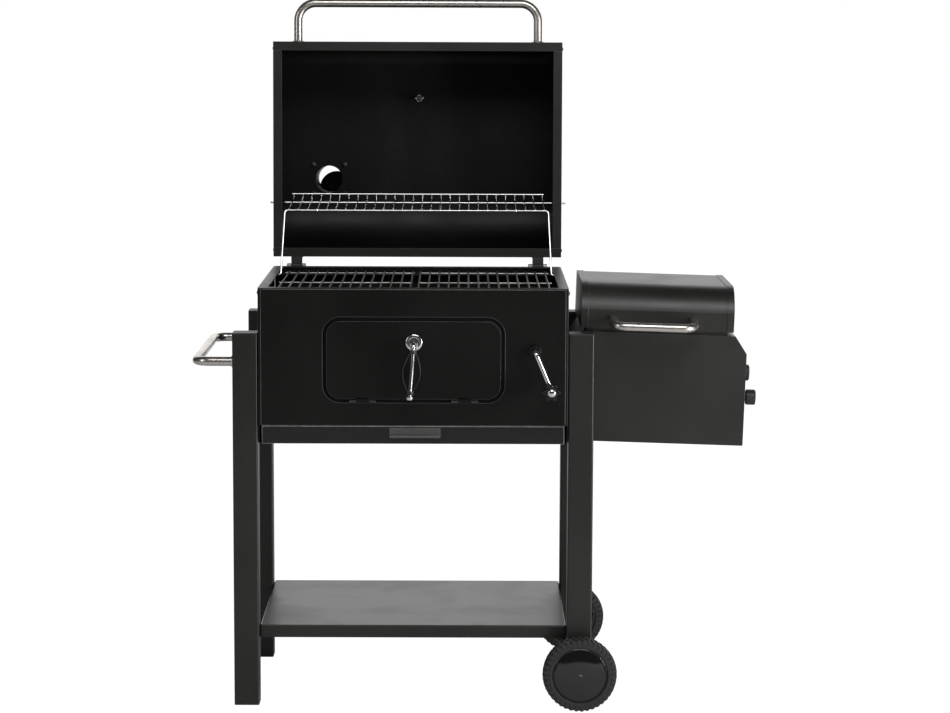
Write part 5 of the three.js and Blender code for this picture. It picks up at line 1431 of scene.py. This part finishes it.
def addFireLid(s, h):
    low = s["lidGap"] - s["hingeAbove"]
    x0, x1 = s["lidInset"], s["lidInset"] + s["lidWidth"]
    cover = slab(bmesh.new(), "x", fireLidLine(1.3, low) + fireLidLine(1.3 + s["sheet"], low)[::-1], x0 + 2.2,
                 x1 - 2.2)
    parts = [asMesh(cover, 0.35, 2)]
    for a, b, wall in ((x0, x0 + s["flange"], x0), (x1 - s["flange"], x1, x1 - 2)):
        flange = slab(bmesh.new(), "x", fireLidLine(0, low) + fireLidLine(1.25, low)[::-1], a, b)
        parts.append(asMesh(flange, 0.5, 2))
        plate = slab(bmesh.new(), "x", fireLidLine(0.9, low + 0.1), wall + 0.05, wall + 1.95)
        parts.append(asMesh(plate, 0.3, 1))
    x = (x0 + x1) / 2
    strap = slab(bmesh.new(), "x", rect(-s["hingeBehind"] - 1.5, -s["hingeBehind"] + 2, 0, 34), x - h["strap"],
                 x + h["strap"])
    parts.append(asMesh(strap, 0.6, 2))
    barrel = lathe(bmesh.new(), "x", rodLine(h["radius"], x - h["strap"], x + h["strap"]), sides=24)
    parts.append(asMesh(barrel))
    makePiece("fireboxLidCover", merge(*parts), satinBlack, "firebox_cover", ["firebox_lid"],
              turn=fireLidTurn, smooth=9)
    face = -s["hingeBehind"] - s["depth"] - 0.3
    z = low + s["band"] / 2
    a, b = (x0 + s["handleX"] + side * s["handleSpacing"] / 2 for side in (-1, 1))
    back, sunk = face - s["reach"], z - s["drop"]
    bar = tube(bmesh.new(), [(a, face + 1.2, z), (a, back, sunk), (b, back, sunk), (b, face + 1.2, z)], s["tube"],
               s["bend"], 32, 12)
    makePiece("fireboxHandleBar", bar, brushedSteel, "firebox_cover", ["firebox_handle"], turn=fireLidTurn,
              smooth=50)
    hx = (x0 + x1) / 2
    leaf = hingeLeaf(hx, s["depth"] + s["hingeBehind"], s["height"] + s["hingeAbove"], s["depth"], h["outer"],
                     h["strap"] + 0.3, h["radius"], h["leaf"], h["pin"])
    makePiece("fireboxHingeLeaf", leaf, mouldedBlack, "frame", ["firebox_hinge"], turn=boxTurn,
              smooth=32)
    spots = [((hx + dx, s["depth"] + 2.3, s["height"] + s["hingeAbove"] - 28), (0, 1, 0))
             for dx in (-60, -20, 20, 60)]
    addScrews("fireboxHingeScrews", spots, "frame", zincSteel, 7.5, 2.4, boxTurn)
    above = [((hx + dx, -s["hingeBehind"] + 2, 22), (0, 1, 0)) for dx in (-42, 0, 42)]
    addScrews("fireLidStrapScrews", above, "firebox_cover", zincSteel, 7.5, 2.4, fireLidTurn)


damperShape = dict(z=130.8, radius=54, sheet=1.6, hole=13, orbit=33, boss=16, bossLength=20, knobDrop=51, knob=16,
                   knobReach=37, knobLength=20, stem=5)


def addDamper(s):
    wall = boxShape["width"] + 0.3
    face = wall + s["sheet"]
    place = Matrix.Translation((0, boxShape["depth"] / 2, s["z"]))
    holes = [circle(s["hole"], 32, (s["orbit"] * math.cos(a), s["orbit"] * math.sin(a)))
             for a in (math.pi / 3 + 2 * math.pi * k / 3 for k in range(3))]
    plate = asMesh(slab(bmesh.new(), "x", circle(s["radius"], 96), wall, face, holes), 0.4, 2)
    boss = lathe(bmesh.new(), "x", [[0, face - 0.4], [s["boss"], face - 0.4],
                                    [s["boss"], face + s["bossLength"] - 1.5],
                                    [s["boss"] - 1.5, face + s["bossLength"]], [6, face + s["bossLength"]],
                                    [5.2, face + s["bossLength"] - 1.2], [0, face + s["bossLength"] - 1.2]], sides=48)
    rib = slab(bmesh.new(), "z", rounded(rect(face + 2, face + s["bossLength"] - 2.4, -1.1, 1.1), 0.8, 3), -1, 1)
    ribs = []
    for k in range(24):
        mesh = asMesh(rib.copy())
        mesh.transform(Matrix.Rotation(2 * math.pi * k / 24, 4, "X") @ Matrix.Translation((0, 0, s["boss"] - 0.2)))
        ribs.append(mesh)
    rib.free()
    lift = -s["knobDrop"]
    end = wall + s["knobReach"]
    knob = lathe(bmesh.new(), "x", [[0, face - 0.4], [s["stem"] + 2, face - 0.4], [s["stem"], face + 2],
                                    [s["stem"], end - s["knobLength"]], [s["knob"] - 1.4, end - s["knobLength"]],
                                    [s["knob"], end - s["knobLength"] + 1.4], [s["knob"], end - 2],
                                    [s["knob"] - 2, end], [0, end]], (0, 0, lift), 48)
    tongue = slab(bmesh.new(), "y", [(face + 0.4, lift - 15), (face + 1.6, lift - 15), (face + 1.6, lift + 12),
                                     (face + 7, lift + 24), (face + 5.8, lift + 24.6),
                                     (face + 0.4, lift + 12)], -11, 11)
    ribs.append(asMesh(tongue, 0.3, 1))
    makePiece("airDamperDisc", merge(plate, asMesh(boss), asMesh(knob), *ribs), mouldedBlack, "damper",
              ["air_damper"], turn=boxTurn @ place, smooth=35)


addFirebox(boxShape)
addFireGrate(fireGrateShape)
addFireLid(boxShape, fireHingeShape)
addDamper(damperShape)
print("firebox built")

# the plain inner parts keep their own shapes and take a finish
# the door frame's near-black is painted shade in the groove
keptParts = {"chamber_back": satinBlack, "door_frame": grooveShadeBlack, "grate_ledge_front": innerBlack,
             "grate_ledge_back": innerBlack, "lift_bar": zincSteel}
for node, coat in keptParts.items():
    piece = frame["nodes"][node]
    piece.data.materials.clear()
    piece.data.materials.append(coat)
    weld = piece.modifiers.new("weld", "WELD")
    weld.merge_threshold = 0.00001
    soft = piece.modifiers.new("edges", "BEVEL")
    soft.width, soft.segments, soft.angle_limit = 0.0004, 2, deg(35)


def addLegBolts():
    spots = []
    for side in ("left", "right"):
        low, high = extent(f"leg_back_{side}")
        spots += [(((low.x + high.x) / 2, high.y, z), (0, 1, 0)) for z in (150, 600, 720)]
    addScrews("legBolts", spots, "frame", mouldedBlack, 11, 3.4)


addLegBolts()

# floor and lights
stageLook = dict(floor=16.0, floorTone=0.8, floorGlow=0.94, glowStrength=1.1)
lightBoxes = [dict(name="backdrop", place=(0, 3.6, 1.7), aim=(0, 0, 0.8), size=(7.0, 4.2), watts=115, spread=180),
              dict(name="leftBox", place=(-3.1, -2.2, 1.7), aim=(0, 0, 0.7), size=(0.9, 2.4), watts=18, spread=180),
              dict(name="rightBox", place=(2.9, -2.2, 0.85), aim=(0.35, 0, 0.6), size=(1.0, 1.5), watts=95,
                   spread=180),
              dict(name="frontTopBox", place=(0.5, -3.0, 3.4), aim=(0, 0, 0.9), size=(2.6, 1.3), watts=66,
                   spread=180)]


def addStage(look):
    bm = slab(bmesh.new(), "z", rect(-look["floor"], look["floor"], -look["floor"], look["floor"]), -0.02, -0.0005)
    mesh = bpy.data.meshes.new("floor")
    bm.to_mesh(mesh)
    bm.free()
    floor = bpy.data.objects.new("floor", mesh)
    scene.collection.objects.link(floor)
    made, tree, shader = startMaterial("floorPaper", Roughness=0.9, Specular_IOR_Level=0.1,
                                       Base_Color=(look["floorTone"],) * 3 + (1,))
    glow = addNode(tree, "ShaderNodeEmission", Strength=look["glowStrength"], Color=(1, 1, 1, 1))
    seen = tree.nodes.new("ShaderNodeLightPath").outputs["Is Camera Ray"]
    share = calc(tree, "MULTIPLY", seen, look["floorGlow"])
    mixed = tree.nodes.new("ShaderNodeMixShader")
    tree.links.new(share, mixed.inputs[0])
    tree.links.new(shader.outputs[0], mixed.inputs[1])
    tree.links.new(glow.outputs[0], mixed.inputs[2])
    tree.links.new(mixed.outputs[0], tree.nodes["Material Output"].inputs["Surface"])
    mesh.materials.append(made)


def addLights(boxes):
    for box in boxes:
        data = bpy.data.lights.new(box["name"], "AREA")
        data.shape, data.size, data.size_y = "RECTANGLE", *box["size"]
        data.energy, data.spread = box["watts"], deg(box["spread"])
        lamp = bpy.data.objects.new(box["name"], data)
        scene.collection.objects.link(lamp)
        aim = Vector(box["aim"]) - Vector(box["place"])
        lamp.matrix_world = Matrix.Translation(box["place"]) @ aim.to_track_quat("-Z", "Y").to_matrix().to_4x4()
        lamp.visible_camera = False


def addWorld(ambient):
    world = bpy.data.worlds.new("room")
    scene.world = world
    world.use_nodes = True
    tree = world.node_tree
    room = tree.nodes["Background"]
    room.inputs["Color"].default_value = (*ambient, 1)
    room.inputs["Strength"].default_value = 1
    white = addNode(tree, "ShaderNodeBackground", Color=(1, 1, 1, 1), Strength=1.0)
    seen = tree.nodes.new("ShaderNodeLightPath").outputs["Is Camera Ray"]
    mixed = tree.nodes.new("ShaderNodeMixShader")
    tree.links.new(seen, mixed.inputs[0])
    tree.links.new(room.outputs[0], mixed.inputs[1])
    tree.links.new(white.outputs[0], mixed.inputs[2])
    tree.links.new(mixed.outputs[0], tree.nodes["World Output"].inputs["Surface"])


addStage(stageLook)
addLights(lightBoxes)
addWorld((0.045, 0.045, 0.047))
scene.view_settings.view_transform = "Standard"
print("stage lit")
